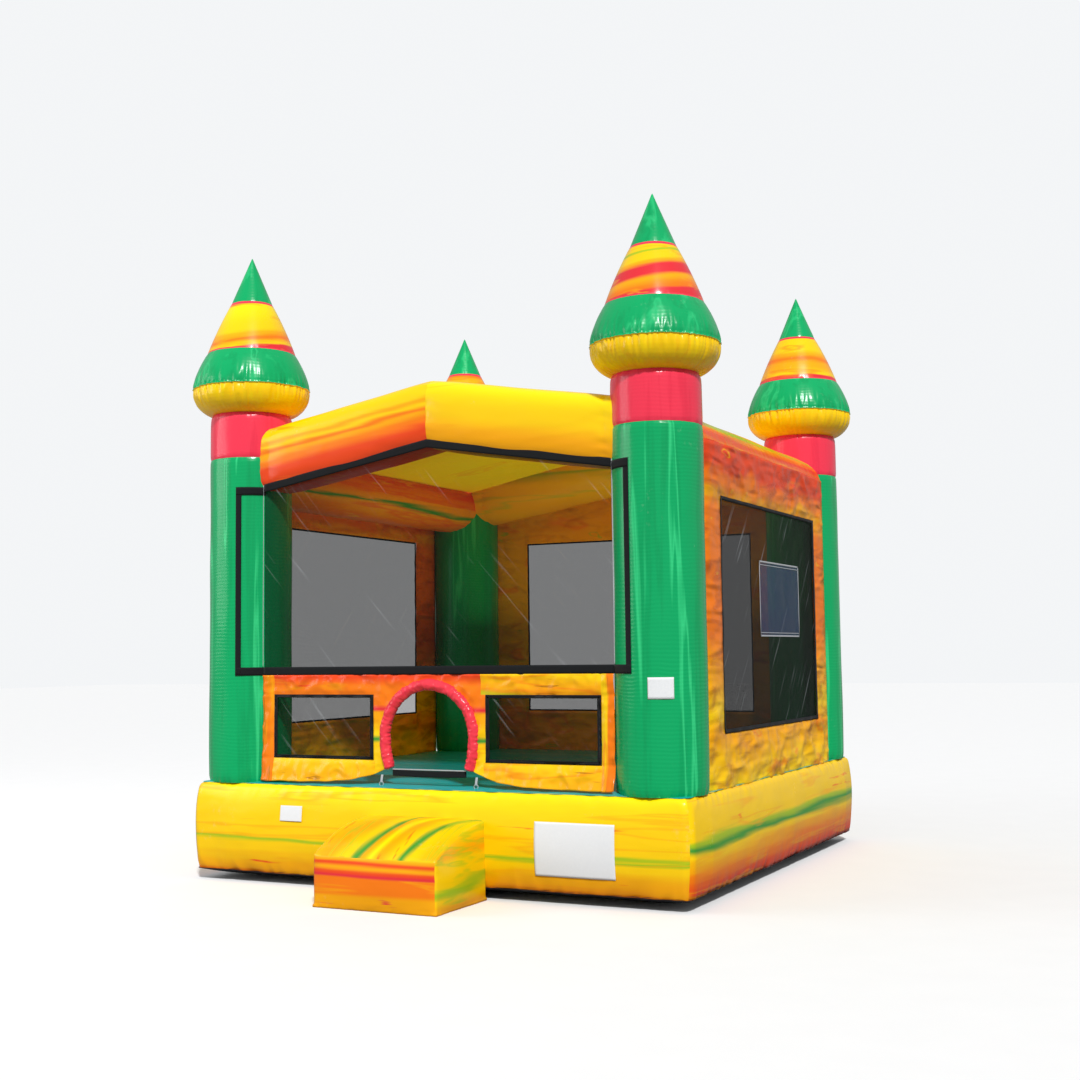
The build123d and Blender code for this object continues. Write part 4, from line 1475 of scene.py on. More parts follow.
# ------------------------------------------------------------------ beams and roof
@dataclass
class Crown:
    """The beams between the towers and the roof sheet they hold."""

    wardrobe: Wardrobe
    offset: float = 1.69
    side_radius: float = 0.24
    side_height: float = 3.06
    gable_radius: float = 0.25
    peak: float = 3.375
    slope: float = 0.165
    reach: float = 1.52
    front_depth: float = 0.205
    squareness: float = 4.0
    eave: float = 3.2
    eave_half: float = 1.495
    roof_slope: float = 0.195
    roof_half: float = 1.48

    def dent(self, along: float, angle: float, ends: Sequence[float], seed: float) -> float:
        """How far a beam's skin is drawn in.

        Args:
            along: the place along the beam.
            angle: the place round it.
            ends: where seams cross it.
            seed: picks the irregularity.

        Returns:
            The pull in metres.
        """
        pull = sum(0.013 * gather(angle, abs(along - end), 34, 0.07, seed + end) for end in ends)
        ring = Vector((1.6 * math.cos(angle), 1.6 * math.sin(angle), along * 2.4 + seed))
        return pull + 0.005 * noise.noise(ring)

    def gable_point(self, y: float, seed: float, depth: float, squareness: float) -> Place:
        """Gives the placing of a gabled beam's skin.

        Args:
            y: the beam's place.
            seed: picks the irregularity.
            depth: half the section's front-to-back size.
            squareness: 2 for a round section, more for one with flatter faces.

        Returns:
            A placing for surface().
        """

        def place(u: float, v: float) -> Vector:
            """Places one point of the gabled skin.

            Args:
                u: how far along, from 0 to 1.
                v: how far across, from 0 to 1.

            Returns:
                The point.
            """
            along = (2 * u - 1) * self.reach
            angle = v * TURN
            seams = (-1.38, 0.0, 1.38)
            pull = self.dent(along, angle, seams, seed)
            across, up = math.cos(angle), math.sin(angle)
            full = (abs(across) ** squareness + abs(up) ** squareness) ** (-1 / squareness)
            centre = self.peak - self.slope * abs(along)
            out = (depth * full - pull) * across
            return Vector((along, y + out, centre + (self.gable_radius * full - pull) * up * 1.013))

        return place

    def side_point(self, x: float, seed: float) -> Place:
        """Gives the placing of a side beam's skin.

        Args:
            x: the beam's place.
            seed: picks the irregularity.

        Returns:
            A placing for surface().
        """

        def place(u: float, v: float) -> Vector:
            """Places one point of the straight skin.

            Args:
                u: how far along, from 0 to 1.
                v: how far across, from 0 to 1.

            Returns:
                The point.
            """
            along = (2 * u - 1) * self.reach
            angle = v * TURN
            radius = self.side_radius - self.dent(along, angle, (-1.39, 1.39), seed)
            return Vector((x + radius * math.cos(angle), along, self.side_height + radius * math.sin(angle)))

        return place

    def roof_point(self, u: float, v: float) -> Vector:
        """A point of the roof sheet, drawn tight between its seams.

        Args:
            u: how far along, from 0 to 1.
            v: how far across, from 0 to 1.

        Returns:
            The point.
        """
        x, y = (2 * u - 1) * self.eave_half, (2 * v - 1) * self.roof_half
        height = self.eave + self.roof_slope * (self.eave_half - abs(x))
        panel = abs(math.sin(math.pi * (y + self.roof_half) / 0.74))
        height += 0.008 * panel * math.sin(math.pi * min(1.0, (self.eave_half - abs(x)) / 1.2))
        height += 0.004 * crease(x, y, 0.4, 6.0)
        return Vector((x, y, height))

    def build(self) -> None:
        """Makes the beams and the roof."""
        left, right = self.wardrobe["beam_front_left"], self.wardrobe["beam_front_right"]
        front = Piece(
            "front_beam",
            surface(220, 96, self.gable_point(-self.offset, 3.0, self.front_depth, self.squareness)),
            [left, right], "vinyl_beam", ["front_beam"],
            paint=lambda face: int(face.calc_center_median().x > 0),
        ).make()
        back = Piece(
            "back_beam", surface(220, 96, self.gable_point(self.offset, 11.0, self.gable_radius, 2.0)),
            [self.wardrobe["beam_back"]], "vinyl_beam", ["back_beam"],
        ).make()
        sides = [
            Piece(
                f"side_beam_{name}",
                surface(200, 96, self.side_point(side * self.offset, 20.0 + side)),
                [self.wardrobe["beam_side"]], "vinyl_beam", [f"side_beam_{name}"],
            ).make()
            for name, side in (("left", -1), ("right", 1))
        ]
        sheet = surface(120, 120, self.roof_point)
        face_outward(sheet, Vector((0, 0, 1)))
        roof = Piece(
            "roof_cover", sheet, [self.wardrobe["roof"]], "vinyl_roof", ["roof_cover"], thickness=0.002
        ).make()


# ------------------------------------------------------------------ walls
@dataclass
class Opening:
    """A rectangular hole in a wall, in the wall's own across and up."""

    left: float
    right: float
    low: float
    high: float

    def holds(self, a: float, b: float) -> bool:
        """Whether a point lies inside."""
        return self.left < a < self.right and self.low < b < self.high

    def gap(self, a: float, b: float) -> float:
        """The distance from a point outside to the hole."""
        return math.hypot(max(self.left - a, 0, a - self.right), max(self.low - b, 0, b - self.high))


@dataclass
class SideWall:
    """A marbled wall with a large netted window, bound in black."""

    wardrobe: Wardrobe
    name: str
    facing: Facing
    material: str
    nodes: tuple[str, str]
    seed: float
    half: float = 1.492
    low: float = 0.712
    eave: float = 3.1
    ridge: float = 3.1
    depth: float = 1.933
    window: Opening = field(default_factory=lambda: Opening(-1.14, 1.14, 1.1, 2.72))
    binding: float = 0.014
    cell: float = 0.02

    def at(self, a: float, b: float, out: float) -> Vector:
        """A point of the wall's plane, pushed outward.

        Args:
            a: metres to the right, seen from outside.
            b: the height.
            out: metres outward.

        Returns:
            The point.
        """
        fx, fy = self.facing.value
        reach = self.depth + out
        return Vector((fx * reach - fy * a, fy * reach + fx * a, b))

    def out(self, a: float, b: float) -> float:
        """How far the vinyl stands out there.

        Args:
            a: metres to the right, seen from outside.
            b: the height.

        Returns:
            Metres outward.
        """
        near_window = math.exp(-self.window.gap(a, b) / 0.09)
        near_side = math.exp(-(self.half - abs(a)) / 0.1)
        joined_on = math.exp(-(((self.half - abs(a)) / 0.05) ** 2))
        swell = 0.018 * (1 - near_window) * (1 - near_side)
        pleat = abs(wave(a, b * 0.25, 0.05, self.seed)) * near_window * (abs(a) < self.window.right)
        slack = 0.5 + 0.5 * near_side + 0.9 * (b < self.window.low) + 0.6 * (b > self.window.high)
        fold = 0.013 * crease(a, b * 1.4, 0.3, self.seed) * slack
        loose = swell - 0.012 * pleat + fold * (1 - 0.7 * near_window)
        return loose * (1 - joined_on) - 0.004 * joined_on

    def snapped(self, value: float, lines: Sequence[float]) -> float:
        """Moves a value on to a line that is nearer than half a cell.

        Args:
            value: the value.
            lines: where it may settle.

        Returns:
            The line, or the value itself.
        """
        for line in lines:
            if abs(value - line) <= self.cell / 2:
                return line
        return value

    def wall_mesh(self) -> Mesh:
        """The wall with its window cut out.

        Returns:
            The mesh.
        """
        holes = self.window

        def place(u: float, v: float) -> Vector:
            """Lays out one point of the flat wall, with rows and columns on the window's edges.

            Args:
                u: how far along, from 0 to 1.
                v: how far across, from 0 to 1.

            Returns:
                The point.
            """
            a = self.snapped((2 * u - 1) * self.half, (holes.left, holes.right))
            top = self.eave + (self.ridge - self.eave) * (1 - abs(a) / self.half)
            b = self.low + (self.eave - self.low) * v
            if b > holes.high + self.cell:
                b += (top - self.eave) * (b - holes.high) / (self.eave - holes.high)
            b = self.snapped(b, (holes.low, holes.high))
            return Vector((a, b, 0))

        mesh = surface(round(2 * self.half / self.cell), round((self.eave - self.low) / self.cell), place)
        inside = [f for f in mesh.faces if holes.holds(f.calc_center_median().x, f.calc_center_median().y)]
        bmesh.ops.delete(mesh, geom=inside, context="FACES")
        for vert in mesh.verts:
            a, b = vert.co.x, vert.co.y
            vert.co = self.at(a, b, self.out(a, b))
        face_outward(mesh, Vector((*self.facing.value, 0)))
        return mesh

    def border(self, hole: Opening, width: float, out: float) -> Mesh:
        """A flat binding round a hole.

        Args:
            hole: the hole it goes round.
            width: the binding's width.
            out: how far out it lies.

        Returns:
            The mesh.
        """
        mesh = bmesh.new()
        bmesh.ops.create_grid(mesh, x_segments=60, y_segments=40, size=0.5)
        for vert in mesh.verts:
            a, b = vert.co.x + 0.5, vert.co.y + 0.5
            vert.co = Vector(
                (hole.left + (hole.right - hole.left) * a, hole.low + (hole.high - hole.low) * b, 0)
            )
        bmesh.ops.inset_region(
            mesh, faces=mesh.faces, thickness=width, use_boundary=True, use_even_offset=True
        )
        rim = [f for f in mesh.faces if hole_edge(hole, f.calc_center_median(), width)]
        others = [f for f in mesh.faces if f not in set(rim)]
        bmesh.ops.delete(mesh, geom=others, context="FACES")
        for vert in mesh.verts:
            a, b = vert.co.x, vert.co.y
            vert.co = self.at(a, b, out + self.out(a, b))
        face_outward(mesh, Vector((*self.facing.value, 0)))
        return mesh

    def net_mesh(self, hole: Opening) -> Mesh:
        """The net across a hole, billowing a little.

        Args:
            hole: the hole it fills.

        Returns:
            The mesh.
        """

        def place(u: float, v: float) -> Vector:
            """Places one point of the net.

            Args:
                u: how far along, from 0 to 1.
                v: how far across, from 0 to 1.

            Returns:
                The point.
            """
            a = hole.left + (hole.right - hole.left) * u
            b = hole.low + (hole.high - hole.low) * v
            belly = dome(u, v)
            return self.at(a, b, 0.012 * belly + 0.006 * belly * wave(a, b, 0.3, self.seed) - 0.002)

        mesh = surface(80, 60, place)
        face_outward(mesh, Vector((*self.facing.value, 0)))
        return mesh

    def build(self) -> None:
        """Makes the wall, its binding and its net."""
        wall_node, net_node = self.nodes
        hole = self.window
        wall = Piece(
            self.name, self.wall_mesh(), [self.wardrobe[self.material]], "vinyl_wall", [wall_node],
            thickness=0.002,
        ).make()
        outer = Opening(
            hole.left - self.binding, hole.right + self.binding, hole.low - self.binding,
            hole.high + self.binding,
        )
        rim = Piece(
            f"{self.name}_binding", self.border(outer, 2 * self.binding, 0.006),
            [self.wardrobe["binding_black"]], "hook_strip", [], thickness=0.003,
        ).make()
        finish = {Facing.LEFT: "net_left", Facing.RIGHT: "net_right"}.get(self.facing, "net_front")
        net = Piece(net_node, self.net_mesh(hole), [self.wardrobe[finish]], "netting", [net_node]).make()


def hole_edge(hole: Opening, centre: Vector, width: float) -> bool:
    """Whether a point lies within a width of a hole's outline, inside it.

    Args:
        hole: the hole.
        centre: the point.
        width: how wide the rim is.

    Returns:
        True inside that rim.
    """
    a, b = centre.x, centre.y
    inner = min(a - hole.left, hole.right - a, b - hole.low, hole.high - b)
    return 0 <= inner <= width * 1.001


@dataclass
class FrontWall(SideWall):
    """The front: a tall net under the gable, a marbled panel with two nets, and the arched doorway."""

    half: float = 1.43
    depth: float = 1.867
    top: float = 1.514
    outer_low: float = 0.735
    door_low: float = 0.845
    door_radius: float = 0.362
    arch_height: float = 1.08
    leg_radius: float = 0.71
    leg_turn: float = math.radians(19.2)
    trim_radius: float = 0.037
    low: float = 0.735
    net_peak: float = 3.187
    slope: float = 0.165
    strip: float = 0.06
    hem_fall: float = 0.2
    edge_strip: float = 1.335
    hem_strip: float = 0.905
    head_strip: float = 1.375
    tower_x: float = 1.69
    tower_radius: float = 0.313
    cell: float = 0.012
    lower: tuple[Opening, Opening] = field(
        default_factory=lambda: (Opening(-1.32, -0.47, 0.92, 1.36), Opening(0.47, 1.32, 0.92, 1.36))
    )

    def hem(self, a: float) -> float:
        """The height of the panel's lower edge there.

        Args:
            a: metres to the right, seen from outside.

        Returns:
            The height.
        """
        beyond = max(0.0, abs(a) - self.door_radius)
        fall = 1 - math.exp(-beyond / self.hem_fall)
        return self.door_low + (self.outer_low + 0.004 - self.door_low) * fall + 0.006 * wave(a, 0, 0.1, 4.0)

    def in_door(self, a: float, b: float) -> bool:
        """Whether a point of the plane lies in the doorway.

        Args:
            a: metres to the right, seen from outside.
            b: the height.

        Returns:
            True inside it.
        """
        if b > self.arch_height:
            return math.hypot(a, b - self.arch_height) < self.door_radius
        drop = self.arch_height - b
        return abs(a) < self.door_radius - self.leg_radius + math.sqrt(max(0.0, self.leg_radius**2 - drop**2))

    def out(self, a: float, b: float) -> float:
        """How far the lower panel stands out there.

        Args:
            a: metres to the right, seen from outside.
            b: the height.

        Returns:
            Metres outward.
        """
        low = self.hem(a)
        clear = min(1.0, max(0.0, (abs(a) - self.door_radius) / 0.3))
        flare = 0.035 * clear * math.exp(-(b - low) / 0.09)
        near = min(hole.gap(a, b) for hole in self.lower)
        calm = 1 - math.exp(-near / 0.05)
        pleat = abs(wave(a, b * 0.2, 0.045, 31.0)) * (
            math.exp(-(b - low) / 0.12) + 0.6 * math.exp(-(self.top - b) / 0.08)
        )
        hem_seam = abs(b - self.hem_strip) if abs(a) > 0.45 else 1
        seam = min(abs(abs(a) - self.edge_strip), hem_seam, abs(b - self.head_strip))
        groove = 0.005 * math.exp(-((seam / 0.009) ** 2)) * clear
        return flare + calm * (0.014 * crease(a, b, 0.17, 30.0) + 0.01 * clear) - 0.014 * pleat - groove

    def cloth_at(self, face: Face) -> int:
        """Which of the panel's cloths a face is cut from: 0 the middle, 1 the edge strips, 2 the hem strips.

        Args:
            face: the face.

        Returns:
            The cloth's number.
        """
        spot = face.calc_center_median()
        if abs(spot.x) > self.edge_strip:
            return 1
        at_hem = spot.z < self.hem_strip and abs(spot.x) > 0.45
        at_head = spot.z > self.head_strip and spot.x > 0.42
        return 2 if at_hem or at_head else 0

    def panel_mesh(self) -> Mesh:
        """The lower panel with its windows and doorway cut out.

        Returns:
            The mesh.
        """
        lines_a = [edge for hole in self.lower for edge in (hole.left, hole.right)]
        lines_b = [self.lower[0].low, self.lower[0].high]
        counts = (15, 37, 13)
        rows = sum(counts)

        def place(u: float, v: float) -> Vector:
            """Lays out one point of the flat panel, from its hem up.

            Args:
                u: how far along, from 0 to 1.
                v: how far across, from 0 to 1.

            Returns:
                The point.
            """
            a = self.snapped((2 * u - 1) * self.half, lines_a)
            heights = (self.hem(a), *lines_b, self.top)
            for i, count in enumerate(counts):
                start = sum(counts[:i])
                if v * rows <= start + count + 1e-6:
                    t = (v * rows - start) / count
                    return Vector((a, heights[i] + (heights[i + 1] - heights[i]) * t, 0))
            return Vector((a, self.top, 0))

        mesh = surface(round(2 * self.half / self.cell), rows, place)
        inside = []
        for face in mesh.faces:
            centre = face.calc_center_median()
            if self.in_door(centre.x, centre.y) or any(hole.holds(centre.x, centre.y) for hole in self.lower):
                inside.append(face)
        bmesh.ops.delete(mesh, geom=inside, context="FACES")
        for vert in mesh.verts:
            a, b = vert.co.x, vert.co.y
            vert.co = self.at(a, b, self.out(a, b))
        face_outward(mesh, Vector((0, -1, 0)))
        return mesh

    def upper_net(self) -> Mesh:
        """The tall net under the gable.

        Returns:
            The mesh.
        """

        def place(u: float, v: float) -> Vector:
            """Places one point of the net.

            Args:
                u: how far along, from 0 to 1.
                v: how far across, from 0 to 1.

            Returns:
                The point.
            """
            a = (2 * u - 1) * self.half
            high = self.net_peak + 0.02 - self.slope * abs(a)
            b = self.top + (high - self.top) * v
            belly = dome(u, v)
            return self.at(a, b, 0.014 * belly + 0.008 * belly * wave(a, b, 0.4, 44.0) - 0.002)

        mesh = surface(120, 80, place)
        face_outward(mesh, Vector((0, -1, 0)))
        return mesh

    def trim_centre(self, t: float) -> tuple[Vector, Vector]:
        """A point of the doorway's outline.

        Args:
            t: how far along, from 0 at the left foot to 1 at the right.

        Returns:
            The point and the direction away from the doorway, both as (across, up).
        """
        arch, leg = math.pi * self.door_radius, self.leg_radius * self.leg_turn
        run = abs(2 * t - 1) * (arch / 2 + leg)
        side = math.copysign(1.0, 2 * t - 1)
        if run <= arch / 2:
            turn = run / self.door_radius
            away = Vector((side * math.sin(turn), math.cos(turn)))
            return Vector((0, self.arch_height)) + away * self.door_radius, away
        turn = (run - arch / 2) / self.leg_radius
        away = Vector((side * math.cos(turn), -math.sin(turn)))
        centre = Vector((side * (self.door_radius - self.leg_radius), self.arch_height))
        return centre + away * self.leg_radius, away

    def trim_mesh(self) -> Mesh:
        """The padded roll round the doorway, puckered along its seams.

        Returns:
            The mesh.
        """

        def place(u: float, v: float) -> Vector:
            """Places one point of the roll.

            Args:
                u: how far along, from 0 to 1.
                v: how far across, from 0 to 1.

            Returns:
                The point.
            """
            spot, away = self.trim_centre(u)
            angle = v * TURN
            seam = abs(math.sin(angle))
            pucker = abs(wave(u * 1.6, 0.03 * math.cos(angle), 0.03, 50.0)) * (0.35 + 0.65 * (1 - seam))
            fold = 0.7 * abs(wave(u * 1.6, 0.1 * math.cos(angle), 0.1, 54.0))
            end = min(1.0, min(u, 1 - u) / 0.012)
            radius = self.trim_radius * (1.18 - 0.5 * pucker - 0.3 * fold) * math.sqrt(
                max(0.0, 1 - (1 - end) ** 2)
            )
            side = away * (radius * math.cos(angle))
            return self.at(spot.x + side.x, spot.y + side.y, radius * math.sin(angle) * 0.95)

        mesh = surface(420, 40, place)
        bmesh.ops.recalc_face_normals(mesh, faces=mesh.faces)
        return mesh

    def ribbon(self, path: Sequence[Vector], normals: Sequence[Vector], width: float, up: bool) -> Mesh:
        """A flat strip along a line of points.

        Args:
            path: the strip's lower or first edge.
            normals: the outward direction at each point.
            width: the strip's width.
            up: whether the width runs up, and otherwise along the surface to the right.

        Returns:
            The mesh.
        """
        count = len(path) - 1

        def place(u: float, v: float) -> Vector:
            """Places one point of the strip.

            Args:
                u: how far along, from 0 to 1.
                v: how far across, from 0 to 1.

            Returns:
                The point.
            """
            i = min(count, round(u * count))
            out = normals[i]
            across = Vector((0, 0, 1)) if up else Vector((-out.y, out.x, 0))
            lift = 0.0012 * wave(path[i].x + path[i].z, v, 0.15, 60.0)
            return path[i] + across * (width * v) + out * lift

        return surface(count, 4, place)

    def banner_frame(self) -> Mesh:
        """The hook-and-loop strips round the net, carried on to the towers.

        Returns:
            The mesh.
        """
        ahead = Vector((0, -1, 0))
        strips = []
        steps = 90
        flat = [(2 * i / steps - 1) * self.half for i in range(steps + 1)]
        strips.append(
            self.ribbon(
                [self.at(a, self.top, 0.006) for a in flat], [ahead] * (steps + 1), self.strip, True
            )
        )
        gable = [self.at(a, self.net_peak - self.slope * abs(a) - self.strip, 0.006) for a in flat]
        strips.append(self.ribbon(gable, [ahead] * (steps + 1), self.strip, True))
        for side in (-1, 1):
            centre = Vector((side * self.tower_x, -self.tower_x, 0))

            def spot(
                angle: float, height: float, side: int = side, centre: Vector = centre
            ) -> tuple[Vector, Vector]:
                """Finds a point on a tower's face."""
                out = Vector((-side * math.sin(angle), -math.cos(angle), 0))
                return centre + out * (self.tower_radius + 0.001) + Vector((0, 0, height)), out

            turns = [math.radians(16 + (57.5 - 16) * i / 24) for i in range(25)]
            for height in (self.top, 2.93 - self.strip):
                spots = [spot(angle, height) for angle in turns]
                strips.append(self.ribbon([p for p, _ in spots], [n for _, n in spots], self.strip, True))
            first, last = math.radians(16), math.radians(16) + 0.043 / 0.31

            def column_strip(u: float, v: float, spot: Callable[..., tuple[Vector, Vector]] = spot) -> Vector:
                """Places one point of the upright strip on a tower."""
                angle = first + (last - first) * v
                return spot(angle, self.top + (2.93 - self.top) * u)[0]

            strips.append(surface(60, 4, column_strip))
        return joined(strips)

    def build(self) -> None:
        """Makes the front wall's pieces."""
        cloths = [self.wardrobe[name] for name in (self.material, "panel_edge", "panel_hem")]
        panel = Piece(
            "front_panel", self.panel_mesh(), cloths, "vinyl_wall", ["front_panel"], thickness=0.002,
            paint=self.cloth_at,
        ).make()
        rims = [
            self.border(
                Opening(h.left - 0.012, h.right + 0.012, h.low - 0.012, h.high + 0.012), 0.022, 0.004
            )
            for h in self.lower
        ]
        rim = Piece(
            "front_panel_binding", joined(rims), [self.wardrobe["binding_black"]], "hook_strip", [],
            thickness=0.003,
        ).make()
        nets = joined([self.upper_net(), *(self.net_mesh(hole) for hole in self.lower)])
        net = Piece("front_net", nets, [self.wardrobe["net_front"]], "netting", ["front_net"]).make()
        trim = Piece(
            "door_trim", self.trim_mesh(), [self.wardrobe["trim_red"]], "door_trim", ["door_trim"]
        ).make()
        frame = self.banner_frame()
        Piece(
            "banner_frame", frame, [self.wardrobe["hook_strip"]], "hook_strip", ["banner_frame"],
            thickness=0.003,
        ).make()

        def sill(u: float, v: float) -> Vector:
            """Places one point of the threshold strap."""
            a = (2 * u - 1) * 0.30
            return self.at(a, 0.8 + 0.045 * v - 0.006 * math.sin(math.pi * u), 0.002 * wave(a, v, 0.1, 70.0))

        strap = Piece(
            "threshold_strap", surface(60, 6, sill), [self.wardrobe["binding_black"]], "webbing",
            ["threshold_strap"], thickness=0.003,
        )
        strap.make()
        edges = [surface(60, 4, lambda u, v: self.at((2 * u - 1) * 0.3, 0.842 + 0.008 * v, 0.003))]
        for side in (-1, 1):

            def piping(u: float, v: float, side: int = side) -> Vector:
                """Places one point of the pale edge beside a tower."""
                return self.at(side * (self.half + 0.003 + 0.014 * v), 1.574 + 1.37 * u, 0.007 - 0.006 * v)

            edges.append(surface(90, 4, piping))
        Piece(
            "front_piping", joined(edges), [self.wardrobe["webbing_grey"]], "webbing", [], thickness=0.002
        ).make()

        ties = []
        for side in (-1, 1):

            def tie(u: float, v: float, side: int = side) -> Vector:
                """Places one point of a floor tie.

                Args:
                    u: how far along, from 0 to 1.
                    v: how far across, from 0 to 1.
                    side: -1 on the left, 1 on the right.

                Returns:
                    The point.
                """
                drop = 0.805 - 0.055 * u
                out = 0.004 + 0.012 * math.sin(math.pi * 0.5 * u)
                return self.at(side * 0.385 + 0.009 * (2 * v - 1), drop, out)

            ties.append(surface(14, 4, tie))
        Piece(
            "tie_straps", joined(ties), [self.wardrobe["webbing_grey"]], "webbing", [], thickness=0.0025
        ).make()


# ------------------------------------------------------------------ fittings
@dataclass
class EntryStep:
    """The inflated step in front of the doorway."""

    wardrobe: Wardrobe
    middle: float = 0.05
    half_width: float = 0.47
    front: float = -2.67
    back: float = -1.99
    front_height: float = 0.345
    back_height: float = 0.535
    cuts: int = 44

    def build(self) -> None:
        """Makes the step."""
        mesh = bmesh.new()
        bmesh.ops.create_cube(mesh, size=2.0)
        bmesh.ops.subdivide_edges(mesh, edges=mesh.edges[:], cuts=self.cuts, use_grid_fill=True)
        depth = self.back - self.front
        for vert in mesh.verts:
            a, b, c = vert.co
            t = (b + 1) / 2
            rise = (
                self.front_height
                + (self.back_height - self.front_height) * t
                + 0.055 * math.sin(math.pi * t)
            )
            fill_a, fill_b, fill_c = ((1 - v * v) ** 0.75 if abs(v) < 1 else 0.0 for v in (a, b, c))
            x = self.middle + a * self.half_width
            y = self.front + depth * t
            z = rise * (c + 1) / 2
            edges = sorted(
                (1 - abs(v)) * size for v, size in ((a, self.half_width), (b, depth / 2), (c, rise / 2))
            )
            fold = 0.011 * abs(wave(x + y, z + y, 0.035, 80.0)) * math.exp(-edges[1] / 0.05)
            soft = 0.004 * noise.noise(Vector((x * 4, y * 4, z * 4)))
            if abs(a) > 0.999:
                x += math.copysign(0.024 * fill_b * fill_c - fold + soft, a)
            if b < -0.999:
                y -= 0.024 * fill_a * fill_c - fold + soft
            if c > 0.999:
                z += 0.022 * fill_a * fill_b - fold + soft
            if c < -0.999:
                z = 0.0
            vert.co = Vector((x, y, z))
        rims = [v for v in mesh.verts if v.co.z > 0.02]
        for _ in range(5):
            bmesh.ops.smooth_vert(
                mesh, verts=rims, factor=0.5, use_axis_x=True, use_axis_y=True, use_axis_z=True
            )
        hidden = [f for f in mesh.faces if f.normal.y > 0.9]
        bmesh.ops.delete(mesh, geom=hidden, context="FACES")
        mesh.normal_update()

        def side_of(face: Face) -> int:
            """Tells which cloth a face is cut from: 0 the front, 1 the sides, 2 the top.

            Args:
                face: the face.

            Returns:
                The cloth's number.
            """
            if abs(face.normal.x) > 0.7:
                return 1
            return 2 if face.normal.z > 0.6 else 0

        finishes = [self.wardrobe[name] for name in ("step_front", "step_side", "step_top")]
        step = Piece("entry_step", mesh, finishes, "vinyl_step", ["entry_step"], paint=side_of).make()


